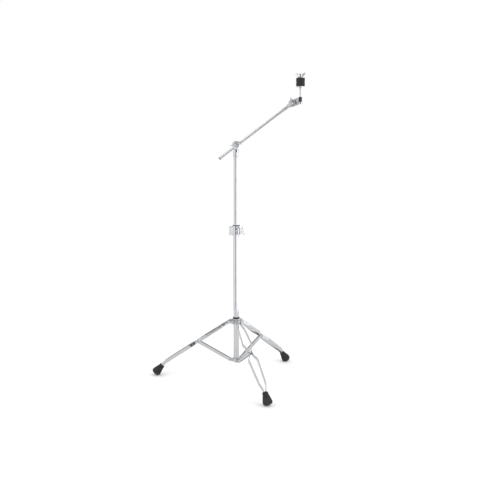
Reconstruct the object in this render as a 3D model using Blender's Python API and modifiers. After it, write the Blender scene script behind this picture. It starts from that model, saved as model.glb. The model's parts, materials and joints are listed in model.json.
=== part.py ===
"""Boom cymbal stand: a folding double-braced tripod, a two-stage telescoping pole and a tilting
boom that ends in a cymbal tilter with its rod, felts and wing nut.

World frame: metres, +Z up, the floor at z = 0, the origin below the centre of the stand's box.
Sizes in this file are in millimetres, and mm() turns them into metres.
"""
import math

import bmesh
import bpy
from mathutils import Matrix, Vector

# ---------------------------------------------------------------- driving dimensions (mm, degrees)
GAP = 0.3                       # clearance between touching pieces
ROUND = 16                      # steps round a turned piece
COLLAR_ROUND = 24
SMALL_ROUND = 10                # steps round a pin, a bolt or its hole
POLE_AT = (48.5, 32.4)          # the pole's axis, seen from the centre of the stand's box

BASE_TUBE_R = 12.7              # one inch base tube
BASE_TUBE_WALL = 1.2
BASE_TUBE_BOTTOM = 86.0
BASE_TUBE_TOP = 690.0
UPPER_TUBE_R = 11.1             # seven-eighths of an inch
UPPER_TUBE_WALL = 1.2
UPPER_TUBE_BOTTOM = 540.0
UPPER_TUBE_TOP = 1026.0

LEG_AZIMUTHS = (170.0, 290.0, 50.0)
LEG_SLOPE = 34.0                # below the horizontal, legs open
EAR_RADIUS = 28.0               # hinge pins of legs and braces, from the pole's axis
LEG_HINGE_Z = 272.0
BRACE_HINGE_Z = 91.0
MID_RADIUS = 179.5              # where leg and brace cross, from the pole's axis
LEG_STRIP = 2.6                 # thickness of a leg's strip
BRACE_STRIP = 2.2
STRIP_DEPTH = 15.0
LEG_WAIST = 6.7                 # strip's middle from the leg's middle plane, at a pivot
LEG_SHOULDER = 14.5             # the same, where the strips part below the hub and above the foot
LEG_BULGE = 20.5                # the same, on both sides of the crossing, where they are furthest apart
LEG_AT_FOOT = 4.7
STRIP_EASE = 6.0                # half the length of each sideways bend in a strip
LEG_BEND_START = 358.0
LEG_BEND_LENGTH = 20.0
LEG_BEND = 14.0                 # degrees that the leg turns down near its foot
BRACE_WAIST = 4.0
PIN_R = 3.0
HOLE_TURN = 7.0                 # turns a pin hole's facets away from the strip's own edges
LOCK_AZIMUTH = 230.0            # the leg hub's wing bolt
LOCK_BOSS_END = 27.0

FOOT_START = 393.0              # along the leg, from its hinge
LEG_IN_FOOT = 20.0
FOOT_TOP_R = 12.6
FOOT_R = 20.5
FOOT_DOME = 8.0
FOOT_FLAT_DEPTH = 1.6           # how much of the dome the floor has worn flat

CLAMP_Z = 684.0                 # middle of the height clamp
CLAMP_HEIGHT = 44.0
CLAMP_EAR_AZIMUTH = -62.0

SWIVEL = -20.0                  # azimuth of the boom's plane
TILT_Z = 1064.0                 # axis of the boom's tilt joint
DISC_R = 17.0
TILT_BOLT_R = 4.0
BOOM_Y = 21.0                   # the boom runs this far behind the pole's axis
BOOM_SLOPE = 35.1
BOOM_R = 6.35                   # half-inch boom tube
BOOM_WALL = 1.0
BOOM_BACK = 107.0               # boom's lower end, behind the tilt axis
BOOM_FRONT = 305.0              # cymbal tilter's axis, ahead of the tilt axis

STEM_LENGTH = 35.0              # cymbal tilter's axis to the end of the boom tube
CYMBAL_DISC = 9.6               # thickness of each of its ratchet discs
CYMBAL_BOLT_R = 3.2
ROD_OUT = 34.5                  # cymbal rod, ahead of the cymbal tilter's axis
SOCKET_R = 7.3                  # nylon socket that the rod stands in
SOCKET_LOW = 4.5                # its foot and its top, above the cymbal tilter's axis
SOCKET_TOP = 26.0
SPIGOT_R = 5.0                  # the part of the socket that plugs into the arm's cup
SPIGOT_LOW = -3.0
ROD_R = 4.0
WASHER_Z = 1303.5               # underside of the cup washer that the lower felt sits in
FELT_R = 19.0
FELT_HEIGHT = 17.4

CHROME = ((0.80, 0.81, 0.83, 1.0), 0.12, 1.0)
NYLON = ((0.02, 0.02, 0.022, 1.0), 0.45, 0.0)
RUBBER = ((0.028, 0.028, 0.03, 1.0), 0.75, 0.0)
FELT = ((0.03, 0.03, 0.032, 1.0), 0.95, 0.0)

STAND = "boom_cymbal_stand"


def mm(*values):
    """Millimetres to metres, as one number or as a tuple."""
    scaled = tuple(v * 0.001 for v in values)
    return scaled if len(scaled) > 1 else scaled[0]


def sind(angle):
    return math.sin(math.radians(angle))


def cosd(angle):
    return math.cos(math.radians(angle))


# ---------------------------------------------------------------- scene, collections, materials
def clear_scene():
    for old in list(bpy.data.objects):
        bpy.data.objects.remove(old, do_unlink=True)


def new_collection(name):
    collection = bpy.data.collections.new(name)
    bpy.context.scene.collection.children.link(collection)
    return collection


clear_scene()
parts = new_collection(STAND)
cutters = new_collection(STAND + "_cutters")


def material(name, finish):
    colour, roughness, metallic = finish
    made = bpy.data.materials.new(name)
    made.use_nodes = True
    shader = made.node_tree.nodes["Principled BSDF"]
    shader.inputs["Base Color"].default_value = colour
    shader.inputs["Roughness"].default_value = roughness
    shader.inputs["Metallic"].default_value = metallic
    made.diffuse_color = colour
    return made


def frame_at(name, location, rotation=(0, 0, 0), parent=None):
    """An empty: a joint's axis or a working frame. Location in mm, rotation in degrees."""
    empty = bpy.data.objects.new(name, None)
    empty.empty_display_size = 0.02
    parts.objects.link(empty)
    place(empty, location, rotation, parent)
    return empty


def place(thing, location=(0, 0, 0), rotation=(0, 0, 0), parent=None):
    thing.location = mm(*location)
    thing.rotation_euler = [math.radians(a) for a in rotation]
    thing.parent = parent
    return thing


def add_part(name, mesh, finish, location=(0, 0, 0), rotation=(0, 0, 0), parent=None):
    part = bpy.data.objects.new(name, mesh)
    mesh.name = name
    mesh.materials.clear()
    mesh.materials.append(material(name, finish))
    parts.objects.link(part)
    return place(part, location, rotation, parent)


def add_cutter(name, mesh, location=(0, 0, 0), rotation=(0, 0, 0), parent=None):
    """A guide for a Boolean: it cuts or joins, and is no piece of the stand itself."""
    cutter = bpy.data.objects.new(name, mesh)
    cutter.hide_render = True
    cutter.display_type = "WIRE"
    cutters.objects.link(cutter)
    return place(cutter, location, rotation, parent)


def boolean(part, other, operation="DIFFERENCE"):
    step = part.modifiers.new(operation.title() + " " + other.name, "BOOLEAN")
    step.operation = operation
    step.solver = "EXACT"
    step.object = other


def bevel(part, width, segments=2, angle=40):
    step = part.modifiers.new("Bevel", "BEVEL")
    step.width = mm(width)
    step.segments = segments
    step.limit_method = "ANGLE"
    step.angle_limit = math.radians(angle)


# ---------------------------------------------------------------- shapes
def box_mesh(low, high):
    """A box between two corners given in mm."""
    bm = bmesh.new()
    bmesh.ops.create_cube(bm, size=1.0)
    size = Vector(mm(*high)) - Vector(mm(*low))
    centre = (Vector(mm(*high)) + Vector(mm(*low))) / 2
    bmesh.ops.transform(bm, matrix=Matrix.Translation(centre) @ Matrix.Diagonal((*size, 1)), verts=bm.verts)
    mesh = bpy.data.meshes.new("box")
    bm.to_mesh(mesh)
    bm.free()
    return mesh


def cylinder_mesh(radius, low, high, along="Z", steps=ROUND):
    """A cylinder on a local axis, from low to high along it, in mm. Few steps make a prism."""
    bm = bmesh.new()
    bmesh.ops.create_cone(
        bm, cap_ends=True, segments=steps, radius1=mm(radius), radius2=mm(radius),
        depth=mm(high - low), matrix=Matrix.Translation((0, 0, mm((high + low) / 2))),
    )
    quarter = math.pi / 2
    turn = {"X": Matrix.Rotation(quarter, 4, "Y"), "Y": Matrix.Rotation(-quarter, 4, "X"), "Z": Matrix()}
    bmesh.ops.transform(bm, matrix=turn[along], verts=bm.verts)
    for face in bm.faces:
        face.smooth = len(face.verts) == 4 and steps >= SMALL_ROUND
    mesh = bpy.data.meshes.new("cylinder")
    bm.to_mesh(mesh)
    bm.free()
    return mesh


def profile_mesh(points, closed=False):
    """The edge of a turned piece, as (radius, height) in mm, from its top down its outer side."""
    mesh = bpy.data.meshes.new("profile")
    edges = [(i, i + 1) for i in range(len(points) - 1)]
    if closed:
        edges.append((len(points) - 1, 0))
    mesh.from_pydata([(mm(r), 0, mm(z)) for r, z in points], edges, [])
    return mesh


def turned(part, steps=ROUND):
    """Turn a profile about the part's own Z."""
    screw = part.modifiers.new("Turn", "SCREW")
    screw.axis = "Z"
    screw.angle = 2 * math.pi
    screw.steps = steps
    screw.render_steps = steps
    screw.use_merge_vertices = True
    screw.merge_threshold = 0.00001
    screw.use_smooth_shade = True
    return part


def ring_profile(inner, outer, low, high, edge=0.8):
    """A tube's or ring's section, its outer corners chamfered by edge."""
    return [
        (outer - edge, high), (outer, high - edge), (outer, low + edge), (outer - edge, low),
        (inner, low), (inner, high),
    ]


def add_ring(name, finish, inner, outer, low, high, edge=0.8, steps=ROUND, **where):
    profile = profile_mesh(ring_profile(inner, outer, low, high, edge), closed=True)
    return turned(add_part(name, profile, finish, **where), steps)


def arc(centre, radius, start, end, count):
    """Points on an arc, angles in degrees, both ends included."""
    step = (end - start) / (count - 1)
    return [
        (centre[0] + radius * cosd(start + step * i), centre[1] + radius * sind(start + step * i))
        for i in range(count)
    ]


def plate_mesh(outline, low, high):
    """A flat outline in local XY, given in mm, thickened along Z from low to high."""
    curve = bpy.data.curves.new("outline", "CURVE")
    curve.dimensions = "2D"
    curve.fill_mode = "BOTH"
    curve.extrude = mm(high - low) / 2
    spline = curve.splines.new("POLY")
    spline.points.add(len(outline) - 1)
    for point, (x, y) in zip(spline.points, outline):
        point.co = (mm(x), mm(y), 0, 1)
    spline.use_cyclic_u = True
    holder = bpy.data.objects.new("outline", curve)
    cutters.objects.link(holder)
    bpy.context.view_layer.update()
    evaluated = holder.evaluated_get(bpy.context.evaluated_depsgraph_get())
    mesh = bpy.data.meshes.new_from_object(evaluated)
    bpy.data.objects.remove(holder, do_unlink=True)
    bpy.data.curves.remove(curve)
    bm = bmesh.new()
    bm.from_mesh(mesh)
    bmesh.ops.remove_doubles(bm, verts=bm.verts, dist=0.000001)
    bmesh.ops.translate(bm, verts=bm.verts, vec=(0, 0, mm(high + low) / 2))
    bmesh.ops.recalc_face_normals(bm, faces=bm.faces)
    for face in bm.faces:
        face.smooth = False
    bm.to_mesh(mesh)
    bm.free()
    return mesh


def wing_outline(span, rise, lobe, root, droop=0.0, dip=0.45):
    """A wing nut's two wings in one outline: X across, Y along the nut's axis.

    dip is how high the wings' upper edge meets the boss, as a share of the rise.
    """
    lobe_at = (span / 2 - lobe, rise - lobe)
    right = [(root, droop)] + arc(lobe_at, lobe, -70, 130, 7) + [(root * 0.8, rise * dip)]
    return right + [(-x, y) for x, y in reversed(right)]


def add_wing(name, boss, outline, thickness, bore=None, shank=None, **where):
    """A wing nut (bore) or wing bolt (shank) along local +Z: a turned boss and a pair of wings.

    boss is a profile, bore is (radius, low, high), and shank is (radius, low, high).
    """
    part = turned(add_part(name, profile_mesh(boss), CHROME, **where))
    plate = plate_mesh(outline, -thickness / 2, thickness / 2)
    plate.transform(Matrix.Rotation(math.pi / 2, 4, "X"))
    boolean(part, add_cutter(name + "_wings", plate, **where), "UNION")
    if shank:
        stem = add_cutter(name + "_shank", cylinder_mesh(*shank, steps=SMALL_ROUND), **where)
        boolean(part, stem, "UNION")
    if bore:
        hole = add_cutter(name + "_bore", cylinder_mesh(*bore, steps=SMALL_ROUND), **where)
        boolean(part, hole)
    return part


# ---------------------------------------------------------------- working frames
stand = frame_at("stand", (*POLE_AT, 0))
tripod_top = frame_at("leg_hub_frame", (0, 0, LEG_HINGE_Z), parent=stand)
tripod_bottom = frame_at("brace_hub_frame", (0, 0, BRACE_HINGE_Z), parent=stand)
swivel = frame_at("height_swivel_axis", (0, 0, UPPER_TUBE_BOTTOM), (0, 0, SWIVEL), stand)
tilt = frame_at("boom_tilt_axis", (0, 0, TILT_Z - UPPER_TUBE_BOTTOM), parent=swivel)
boom = frame_at("boom_axis", (0, BOOM_Y, 0), (0, -BOOM_SLOPE, 0), tilt)
cymbal_tilt = frame_at("cymbal_tilt_axis", (BOOM_FRONT, 0, 0), (0, BOOM_SLOPE, 0), boom)


# ---------------------------------------------------------------- pole
def make_base_tube():
    add_ring(
        "base_tube", CHROME, BASE_TUBE_R - BASE_TUBE_WALL, BASE_TUBE_R, BASE_TUBE_BOTTOM, BASE_TUBE_TOP,
        edge=0.3, parent=stand,
    )
    bore = BASE_TUBE_R - BASE_TUBE_WALL - GAP
    low = BASE_TUBE_BOTTOM - GAP
    plug = [
        (0, low + 14), (bore - 1, low + 14), (bore, low + 13), (bore, low), (BASE_TUBE_R, low),
        (BASE_TUBE_R, low - 3), (BASE_TUBE_R - 2, low - 5), (0, low - 5),
    ]
    turned(add_part("base_tube_plug", profile_mesh(plug), NYLON, parent=stand))


def make_upper_tube():
    inner = UPPER_TUBE_R - UPPER_TUBE_WALL
    length = UPPER_TUBE_TOP - UPPER_TUBE_BOTTOM
    add_ring("upper_tube", CHROME, inner, UPPER_TUBE_R, 0, length, edge=0.3, parent=swivel)
    spigot = inner - GAP
    guide_r = BASE_TUBE_R - BASE_TUBE_WALL - GAP
    guide = [
        (0, 12), (spigot - 1, 12), (spigot, 11), (spigot, -GAP), (guide_r, -GAP), (guide_r, -16),
        (guide_r - 1, -17), (0, -17),
    ]
    turned(add_part("tube_guide", profile_mesh(guide), NYLON, parent=swivel))


# ---------------------------------------------------------------- tripod
def ear_outline(root, radius):
    """An ear from the collar (root) out to a round end about the hinge pin at EAR_RADIUS."""
    return [(root, -radius)] + arc((EAR_RADIUS, 0), radius, -90, 90, 13) + [(root, radius)]


def hinge_at(azimuth, radius=EAR_RADIUS):
    """A point at a radius from the pole's axis, for instance a hinge pin's middle."""
    return radius * cosd(azimuth), radius * sind(azimuth), 0


def make_collar(name, frame, low, high, outer, ear_half, ear_r):
    """A cast collar round the base tube with three ears for the hinge pins."""
    collar = add_ring(name, CHROME, BASE_TUBE_R - 3, outer, low, high, 1.5, steps=COLLAR_ROUND, parent=frame)
    for number, azimuth in enumerate(LEG_AZIMUTHS, 1):
        ear = plate_mesh(ear_outline(BASE_TUBE_R + 0.8, ear_r), -ear_half, ear_half)
        ear_cutter = add_cutter(f"{name}_ear_{number}", ear, rotation=(90, 0, azimuth), parent=frame)
        boolean(collar, ear_cutter, "UNION")
    return collar


def cut_collar(collar, name, frame, low, high, ear_half):
    """The collar's bore and the three pin holes, after everything is joined on."""
    bore = cylinder_mesh(BASE_TUBE_R + GAP, low - 5, high + 5, steps=COLLAR_ROUND)
    boolean(collar, add_cutter(name + "_bore", bore, parent=frame))
    for number, azimuth in enumerate(LEG_AZIMUTHS, 1):
        hole = cylinder_mesh(PIN_R + GAP, -ear_half - 3, ear_half + 3, "Y", SMALL_ROUND)
        hole_cutter = add_cutter(f"{name}_hole_{number}", hole, hinge_at(azimuth), (0, 0, azimuth), frame)
        boolean(collar, hole_cutter)


def make_leg_hub():
    """The sliding collar that the legs hang on, its bushing, and the wing bolt that locks it."""
    low, high = -15.0, 12.0
    ear_half = LEG_WAIST - LEG_STRIP / 2 - GAP
    hub = make_collar("leg_hub", tripod_top, low, high, 18.5, ear_half, 8.0)
    bolt = frame_at("leg_hub_bolt_axis", (0, 0, (low + high) / 2), (0, 0, LOCK_AZIMUTH), tripod_top)
    boss = add_cutter("leg_hub_boss", cylinder_mesh(8, 14, LOCK_BOSS_END, "X"), parent=bolt)
    boolean(hub, boss, "UNION")
    cut_collar(hub, "leg_hub", tripod_top, low, high, ear_half)
    thread = cylinder_mesh(PIN_R + GAP, 5, 40, "X", SMALL_ROUND)
    boolean(hub, add_cutter("leg_hub_thread", thread, parent=bolt))
    add_ring(
        "leg_hub_bushing", NYLON, BASE_TUBE_R + GAP, 15.2, high + GAP, high + 6.5, steps=COLLAR_ROUND,
        parent=tripod_top,
    )
    boss_profile = [(0, 15), (4, 15), (5.5, 13.5), (6.5, 8), (6.5, 0), (0, 0)]
    start = LOCK_BOSS_END + 1
    add_wing(
        "leg_hub_wing_bolt", boss_profile, wing_outline(44, 24, 6.5, 6, 3), 4.0,
        shank=(PIN_R, BASE_TUBE_R + GAP - start, 2), location=(start, 0, 0), rotation=(90, 8, 90),
        parent=bolt,
    )


def make_brace_hub():
    low, high = -6.5, 9.0
    ear_half = BRACE_WAIST - BRACE_STRIP / 2 - GAP
    hub = make_collar("brace_hub", tripod_bottom, low, high, 17.5, ear_half, 7.5)
    cut_collar(hub, "brace_hub", tripod_bottom, low, high, ear_half)


def make_rivet(name, reach, frame, azimuth):
    """A hinge pin through an ear and both strips, with a domed head each side."""
    head = 5.2
    end = reach + GAP
    half = [(0, end + 2.2), (head * 0.6, end + 1.8), (head, end), (PIN_R, end)]
    profile = half + [(r, -z) for r, z in reversed(half)]
    pin = add_part(name, profile_mesh(profile), CHROME, hinge_at(azimuth), (90, 0, azimuth), frame)
    turned(pin, SMALL_ROUND)


def straight_between(s, knots):
    for (s0, y0), (s1, y1) in zip(knots, knots[1:]):
        if s <= s1:
            return y0 + (y1 - y0) * max(s - s0, 0.0) / (s1 - s0)
    return knots[-1][1]


def along_knots(s, knots):
    """A line through (position, offset) knots with each corner eased into a short bend."""
    return sum(straight_between(s + STRIP_EASE * step / 2, knots) for step in range(-2, 3)) / 5


def bent(s, z):
    """A point of the leg at s along it and z above its middle line, after the bend near the foot."""
    radius = LEG_BEND_LENGTH / math.radians(LEG_BEND)
    angle = min(max(s - LEG_BEND_START, 0.0), LEG_BEND_LENGTH) / radius
    rest = max(s - LEG_BEND_START - LEG_BEND_LENGTH, 0.0)
    x = min(s, LEG_BEND_START) + radius * math.sin(angle) + rest * math.cos(angle)
    drop = radius * (1 - math.cos(angle)) + rest * math.sin(angle)
    return x + z * math.sin(angle), -drop + z * math.cos(angle)


def stations(knots, end_round, bends):
    """Where a strip's cross edges go: close together where it curves, sparse where it is straight."""
    rounding = [end_round * (1 - cosd(30 * i)) for i in range(4)]
    first, last = knots[0][0], knots[-1][0]
    places = [first + r for r in rounding] + [last - r for r in rounding]
    for knot, _ in knots[1:-1]:
        places += [knot + STRIP_EASE * step / 2 for step in range(-2, 3)]
    if bends:
        places += [LEG_BEND_START + LEG_BEND_LENGTH * i / 4 for i in range(5)]
    kept = []
    for s in sorted(places):
        if not kept or s - kept[-1] > 0.4:
            kept.append(s)
    return kept


def strip_mesh(knots, side, round_end, bends):
    """A flat bar on edge that bows sideways along its knots, as an open sheet along its middle."""
    places = stations(knots, STRIP_DEPTH / 2, bends)
    half = STRIP_DEPTH / 2
    first, last = places[0], places[-1]
    bm = bmesh.new()
    pairs = []
    for s in places:
        inset = max(half - (s - first), half - (last - s) if round_end else 0.0, 0.0)
        edge = max(math.sqrt(max(half ** 2 - inset ** 2, 0.0)), 1.2)
        y = side * along_knots(s, knots)
        ends = [bent(s, z) if bends else (s, z) for z in (-edge, edge)]
        pairs.append([bm.verts.new(mm(x, y, z)) for x, z in ends])
    for (a, b), (c, d) in zip(pairs, pairs[1:]):
        bm.faces.new((a, c, d, b))
    mesh = bpy.data.meshes.new("strip")
    bm.to_mesh(mesh)
    bm.free()
    return mesh


def add_strip(name, knots, side, thickness, frame, round_end=True, bends=False):
    strip = add_part(name, strip_mesh(knots, side, round_end, bends), CHROME, parent=frame)
    solid = strip.modifiers.new("Thickness", "SOLIDIFY")
    solid.thickness = mm(thickness)
    solid.offset = 0
    solid.use_even_offset = True
    return strip


LEG_RUN = MID_RADIUS - EAR_RADIUS
LEG_UPPER = LEG_RUN / cosd(LEG_SLOPE)
MID_Z = LEG_HINGE_Z - LEG_RUN * math.tan(math.radians(LEG_SLOPE))
BRACE_SLOPE = math.degrees(math.atan2(MID_Z - BRACE_HINGE_Z, LEG_RUN))
BRACE_LENGTH = math.hypot(MID_Z - BRACE_HINGE_Z, LEG_RUN)


def foot_profile(length):
    """A rubber foot from its small end at z = 0 down to a dome: a flared boot."""
    dome = [(FOOT_R * cosd(a), -length + FOOT_DOME * (1 - sind(a)) - FOOT_DOME) for a in (15, 30, 45, 60, 75)]
    return [
        (0, 0), (FOOT_TOP_R - 1.5, 0), (FOOT_TOP_R, -1.5), (FOOT_TOP_R, -7), (FOOT_TOP_R - 0.8, -8.5),
        (FOOT_TOP_R + 1.2, -12), (FOOT_R, -length + 6), (FOOT_R, -length),
    ] + dome + [(0, -length - FOOT_DOME)]


def foot_length():
    """Distance along the foot that brings its dome FOOT_FLAT_DEPTH below the floor."""
    x, z = bent(FOOT_START, 0)
    top = LEG_HINGE_Z - x * sind(LEG_SLOPE) + z * cosd(LEG_SLOPE)
    angle = LEG_SLOPE + LEG_BEND
    reach = math.hypot(FOOT_DOME * sind(angle), FOOT_R * cosd(angle))
    return (top - reach + FOOT_FLAT_DEPTH) / sind(angle)


def pin_holes(name, places, frame):
    """One cutter at each place along a pair of strips, through both of them."""
    hole = cylinder_mesh(PIN_R + GAP, -40, 40, "Y", SMALL_ROUND)
    return [
        add_cutter(f"{name}_hole_{number}", hole, (s, 0, 0), (0, HOLE_TURN, 0), frame)
        for number, s in enumerate(places, 1)
    ]


def make_leg(number, azimuth, floor):
    frame = frame_at(f"leg_{number}_axis", hinge_at(azimuth), (0, LEG_SLOPE, azimuth), tripod_top)
    mid = LEG_UPPER
    knots = [
        (-STRIP_DEPTH / 2, LEG_WAIST), (20, LEG_WAIST), (47, LEG_SHOULDER), (mid - 46, LEG_BULGE),
        (mid - 14, LEG_WAIST), (mid + 14, LEG_WAIST), (mid + 38, LEG_BULGE), (355, LEG_SHOULDER),
        (386, LEG_AT_FOOT), (FOOT_START + LEG_IN_FOOT, LEG_AT_FOOT),
    ]
    holes = pin_holes(f"leg_{number}", (0, mid), frame)
    inner = LEG_WAIST - LEG_STRIP / 2
    outer = LEG_WAIST + LEG_STRIP / 2 + GAP
    pin = [(0, outer + 2.0), (3.1, outer + 1.7), (5.2, outer), (PIN_R, outer), (PIN_R, inner), (0, inner)]
    for label, side in (("left", 1), ("right", -1)):
        strip = add_strip(f"leg_{number}_{label}_strip", knots, side, LEG_STRIP, frame, False, True)
        for hole in holes:
            boolean(strip, hole)
        rivet_name = f"leg_{number}_{label}_rivet"
        rivet = add_part(rivet_name, profile_mesh(pin), CHROME, (mid, 0, 0), (-side * 90, 0, 0), frame)
        turned(rivet, SMALL_ROUND)
    make_foot(number, frame, floor)


def make_foot(number, leg, floor):
    """A rubber foot over the ends of both strips, worn flat where it meets the floor."""
    x, z = bent(FOOT_START, 0)
    frame = frame_at(f"foot_{number}_frame", (x, 0, z), (0, LEG_BEND - 90, 0), leg)
    foot = turned(add_part(f"foot_{number}", profile_mesh(foot_profile(foot_length())), RUBBER, parent=frame))
    slot_y = LEG_AT_FOOT + LEG_STRIP / 2 + GAP
    slot_x = STRIP_DEPTH / 2 + GAP
    slot = box_mesh((-slot_x, -slot_y, -LEG_IN_FOOT - GAP), (slot_x, slot_y, 5))
    boolean(foot, add_cutter(f"foot_{number}_slot", slot, parent=frame))
    boolean(foot, floor)


def make_brace(number, azimuth):
    frame = frame_at(f"brace_{number}_axis", hinge_at(azimuth), (0, -BRACE_SLOPE, azimuth), tripod_bottom)
    half = STRIP_DEPTH / 2
    knots = [(-half, BRACE_WAIST), (BRACE_LENGTH + half, BRACE_WAIST)]
    holes = pin_holes(f"brace_{number}", (0, BRACE_LENGTH), frame)
    for label, side in (("left", 1), ("right", -1)):
        strip = add_strip(f"brace_{number}_{label}_strip", knots, side, BRACE_STRIP, frame)
        for hole in holes:
            boolean(strip, hole)


def make_tripod():
    floor = add_cutter("floor", box_mesh((-600, -600, -60), (600, 600, 0)), parent=stand)
    make_leg_hub()
    make_brace_hub()
    for number, azimuth in enumerate(LEG_AZIMUTHS, 1):
        make_rivet(f"leg_hub_pin_{number}", LEG_WAIST + LEG_STRIP / 2, tripod_top, azimuth)
        make_rivet(f"brace_hub_pin_{number}", BRACE_WAIST + BRACE_STRIP / 2, tripod_bottom, azimuth)
        make_leg(number, azimuth, floor)
        make_brace(number, azimuth)


# ---------------------------------------------------------------- height clamp
def make_height_clamp():
    frame = frame_at("height_clamp_frame", (0, 0, CLAMP_Z), parent=stand)
    ears_frame = frame_at("height_clamp_ears", (0, 0, 0), (0, 0, CLAMP_EAR_AZIMUTH), frame)
    half = CLAMP_HEIGHT / 2
    bore = BASE_TUBE_R + GAP
    clamp = add_ring("height_clamp", CHROME, 10, 17.8, -half, half, 1.5, steps=COLLAR_ROUND, parent=frame)
    lug = add_cutter("height_clamp_lug", box_mesh((-31, -9, -20), (-14, 9, 19)), parent=frame)
    bevel(lug, 2.0)
    boolean(clamp, lug, "UNION")
    ear_outer, slit, bolt_x, bolt_r = 9.0, 1.6, 25.0, 3.0
    rounded_end = arc((27, -8), 6, -90, 0, 5) + arc((27, 8), 6, 0, 90, 5)
    ears = plate_mesh([(13, -14)] + rounded_end + [(13, 14)], -ear_outer, ear_outer)
    ear_block = add_cutter("height_clamp_ear_block", ears, rotation=(90, 0, 0), parent=ears_frame)
    bevel(ear_block, 1.2)
    boolean(clamp, ear_block, "UNION")
    inside = cylinder_mesh(bore, -half - 5, half + 5, steps=COLLAR_ROUND)
    boolean(clamp, add_cutter("height_clamp_bore", inside, parent=frame))
    slit_box = box_mesh((8, -slit, -half - 5), (40, slit, half + 5))
    boolean(clamp, add_cutter("height_clamp_slit", slit_box, parent=ears_frame))
    hole = cylinder_mesh(bolt_r + GAP, -20, 20, "Y", SMALL_ROUND)
    boolean(clamp, add_cutter("height_clamp_hole", hole, (bolt_x, 0, 0), parent=ears_frame))

    top = BASE_TUBE_TOP - CLAMP_Z
    sleeve = [
        (15.0, half + 2.4), (16.4, half + 1.2), (16.4, half + GAP), (bore - GAP, half + GAP),
        (bore - GAP, top + GAP), (UPPER_TUBE_R + GAP, top + GAP), (UPPER_TUBE_R + GAP, half + 2.4),
    ]
    turned(add_part("height_clamp_bushing", profile_mesh(sleeve, closed=True), NYLON, parent=frame))

    boss = [(0, 13), (4.2, 13), (5.6, 11.5), (6.6, 6), (6.6, 0), (0, 0)]
    add_wing(
        "height_wing_bolt", boss, wing_outline(40, 21, 6.0, 6, 2), 4.0,
        shank=(bolt_r, -2 * ear_outer - 9, 2), location=(bolt_x, ear_outer + GAP, 0),
        rotation=(-90, 78, 0), parent=ears_frame,
    )
    nut_y = -ear_outer - GAP
    hexagon = cylinder_mesh(6.6, nut_y - 5, nut_y, "Y", 6)
    nut = add_part("height_clamp_nut", hexagon, CHROME, (bolt_x, 0, 0), parent=ears_frame)
    nut_hole = cylinder_mesh(bolt_r + GAP, nut_y - 9, nut_y + 4, "Y", SMALL_ROUND)
    boolean(nut, add_cutter("height_clamp_nut_hole", nut_hole, (bolt_x, 0, 0), parent=ears_frame))
    bevel(nut, 0.5, segments=1)


# ---------------------------------------------------------------- boom tilter
def make_tilter_base():
    """Socket on the upper tube, a neck, and the front ratchet disc."""
    top = UPPER_TUBE_TOP - TILT_Z
    skirt = top - 16
    socket = [
        (0, top + 20), (8, top + 20), (12.0, top + 16), (13.2, top + 6), (12.6, skirt + 1), (12.2, skirt),
        (0, skirt),
    ]
    base = turned(add_part("tilter_base", profile_mesh(socket), CHROME, parent=tilt))
    neck = add_cutter("tilter_base_neck", box_mesh((-9, -9.7, top + 4), (9, -GAP, 0)), parent=tilt)
    bevel(neck, 1.5)
    boolean(base, neck, "UNION")
    disc = add_cutter("tilter_base_disc", cylinder_mesh(DISC_R, -10, -GAP, "Y", COLLAR_ROUND), parent=tilt)
    bevel(disc, 1.0, angle=60)
    boolean(base, disc, "UNION")
    bolt_hole = cylinder_mesh(TILT_BOLT_R + GAP, -20, 12, "Y", SMALL_ROUND)
    boolean(base, add_cutter("tilter_base_bolt_hole", bolt_hole, parent=tilt))
    bore = cylinder_mesh(UPPER_TUBE_R + GAP, skirt - 5, top + GAP)
    boolean(base, add_cutter("tilter_base_socket", bore, parent=tilt))
    clearance = cylinder_mesh(DISC_R + 1.5, -GAP, 30, "Y", COLLAR_ROUND)
    boolean(base, add_cutter("tilter_base_clearance", clearance, parent=tilt))


def make_tilter_head():
    """Rear ratchet disc with the saddle that the boom runs through."""
    head = add_part("tilter_head", cylinder_mesh(DISC_R, 0, 9, "Y", COLLAR_ROUND), CHROME, parent=tilt)
    bevel(head, 1.0, angle=60)
    saddle = add_cutter("tilter_head_saddle", box_mesh((-14, 8 - BOOM_Y, -10.5), (14, 8, 10.5)), parent=boom)
    bevel(saddle, 2.0)
    boolean(head, saddle, "UNION")
    boolean(head, add_cutter("tilter_head_bore", cylinder_mesh(BOOM_R + GAP, -30, 30, "X"), parent=boom))
    slot = box_mesh((-4.9, -11.2, -20), (4.9, 20, 20))
    boolean(head, add_cutter("tilter_head_slot", slot, parent=boom))
    bolt_hole = cylinder_mesh(TILT_BOLT_R + GAP, -5, 12, "Y", SMALL_ROUND)
    boolean(head, add_cutter("tilter_head_bolt_hole", bolt_hole, parent=tilt))

    eye = add_part("tilter_eye_bolt", cylinder_mesh(10.2, -4.5, 4.5, "X"), CHROME, parent=boom)
    bevel(eye, 0.8, angle=60)
    shank = cylinder_mesh(TILT_BOLT_R, -BOOM_Y - 26, -8, "Y", SMALL_ROUND)
    boolean(eye, add_cutter("tilter_eye_shank", shank, parent=boom), "UNION")
    boolean(eye, add_cutter("tilter_eye_bore", cylinder_mesh(BOOM_R + GAP, -10, 10, "X"), parent=boom))

    boss = [(0, 14), (6.0, 14), (7.2, 12.5), (8.2, 5), (9.5, 1.5), (9.5, 0), (0, 0)]
    add_wing(
        "tilter_wing_nut", boss, wing_outline(50, 25, 7.0, 7.5, 2), 4.4, bore=(TILT_BOLT_R + GAP, -5, 30),
        location=(0, -10 - GAP, 0), rotation=(90, 13, 0), parent=tilt,
    )


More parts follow.
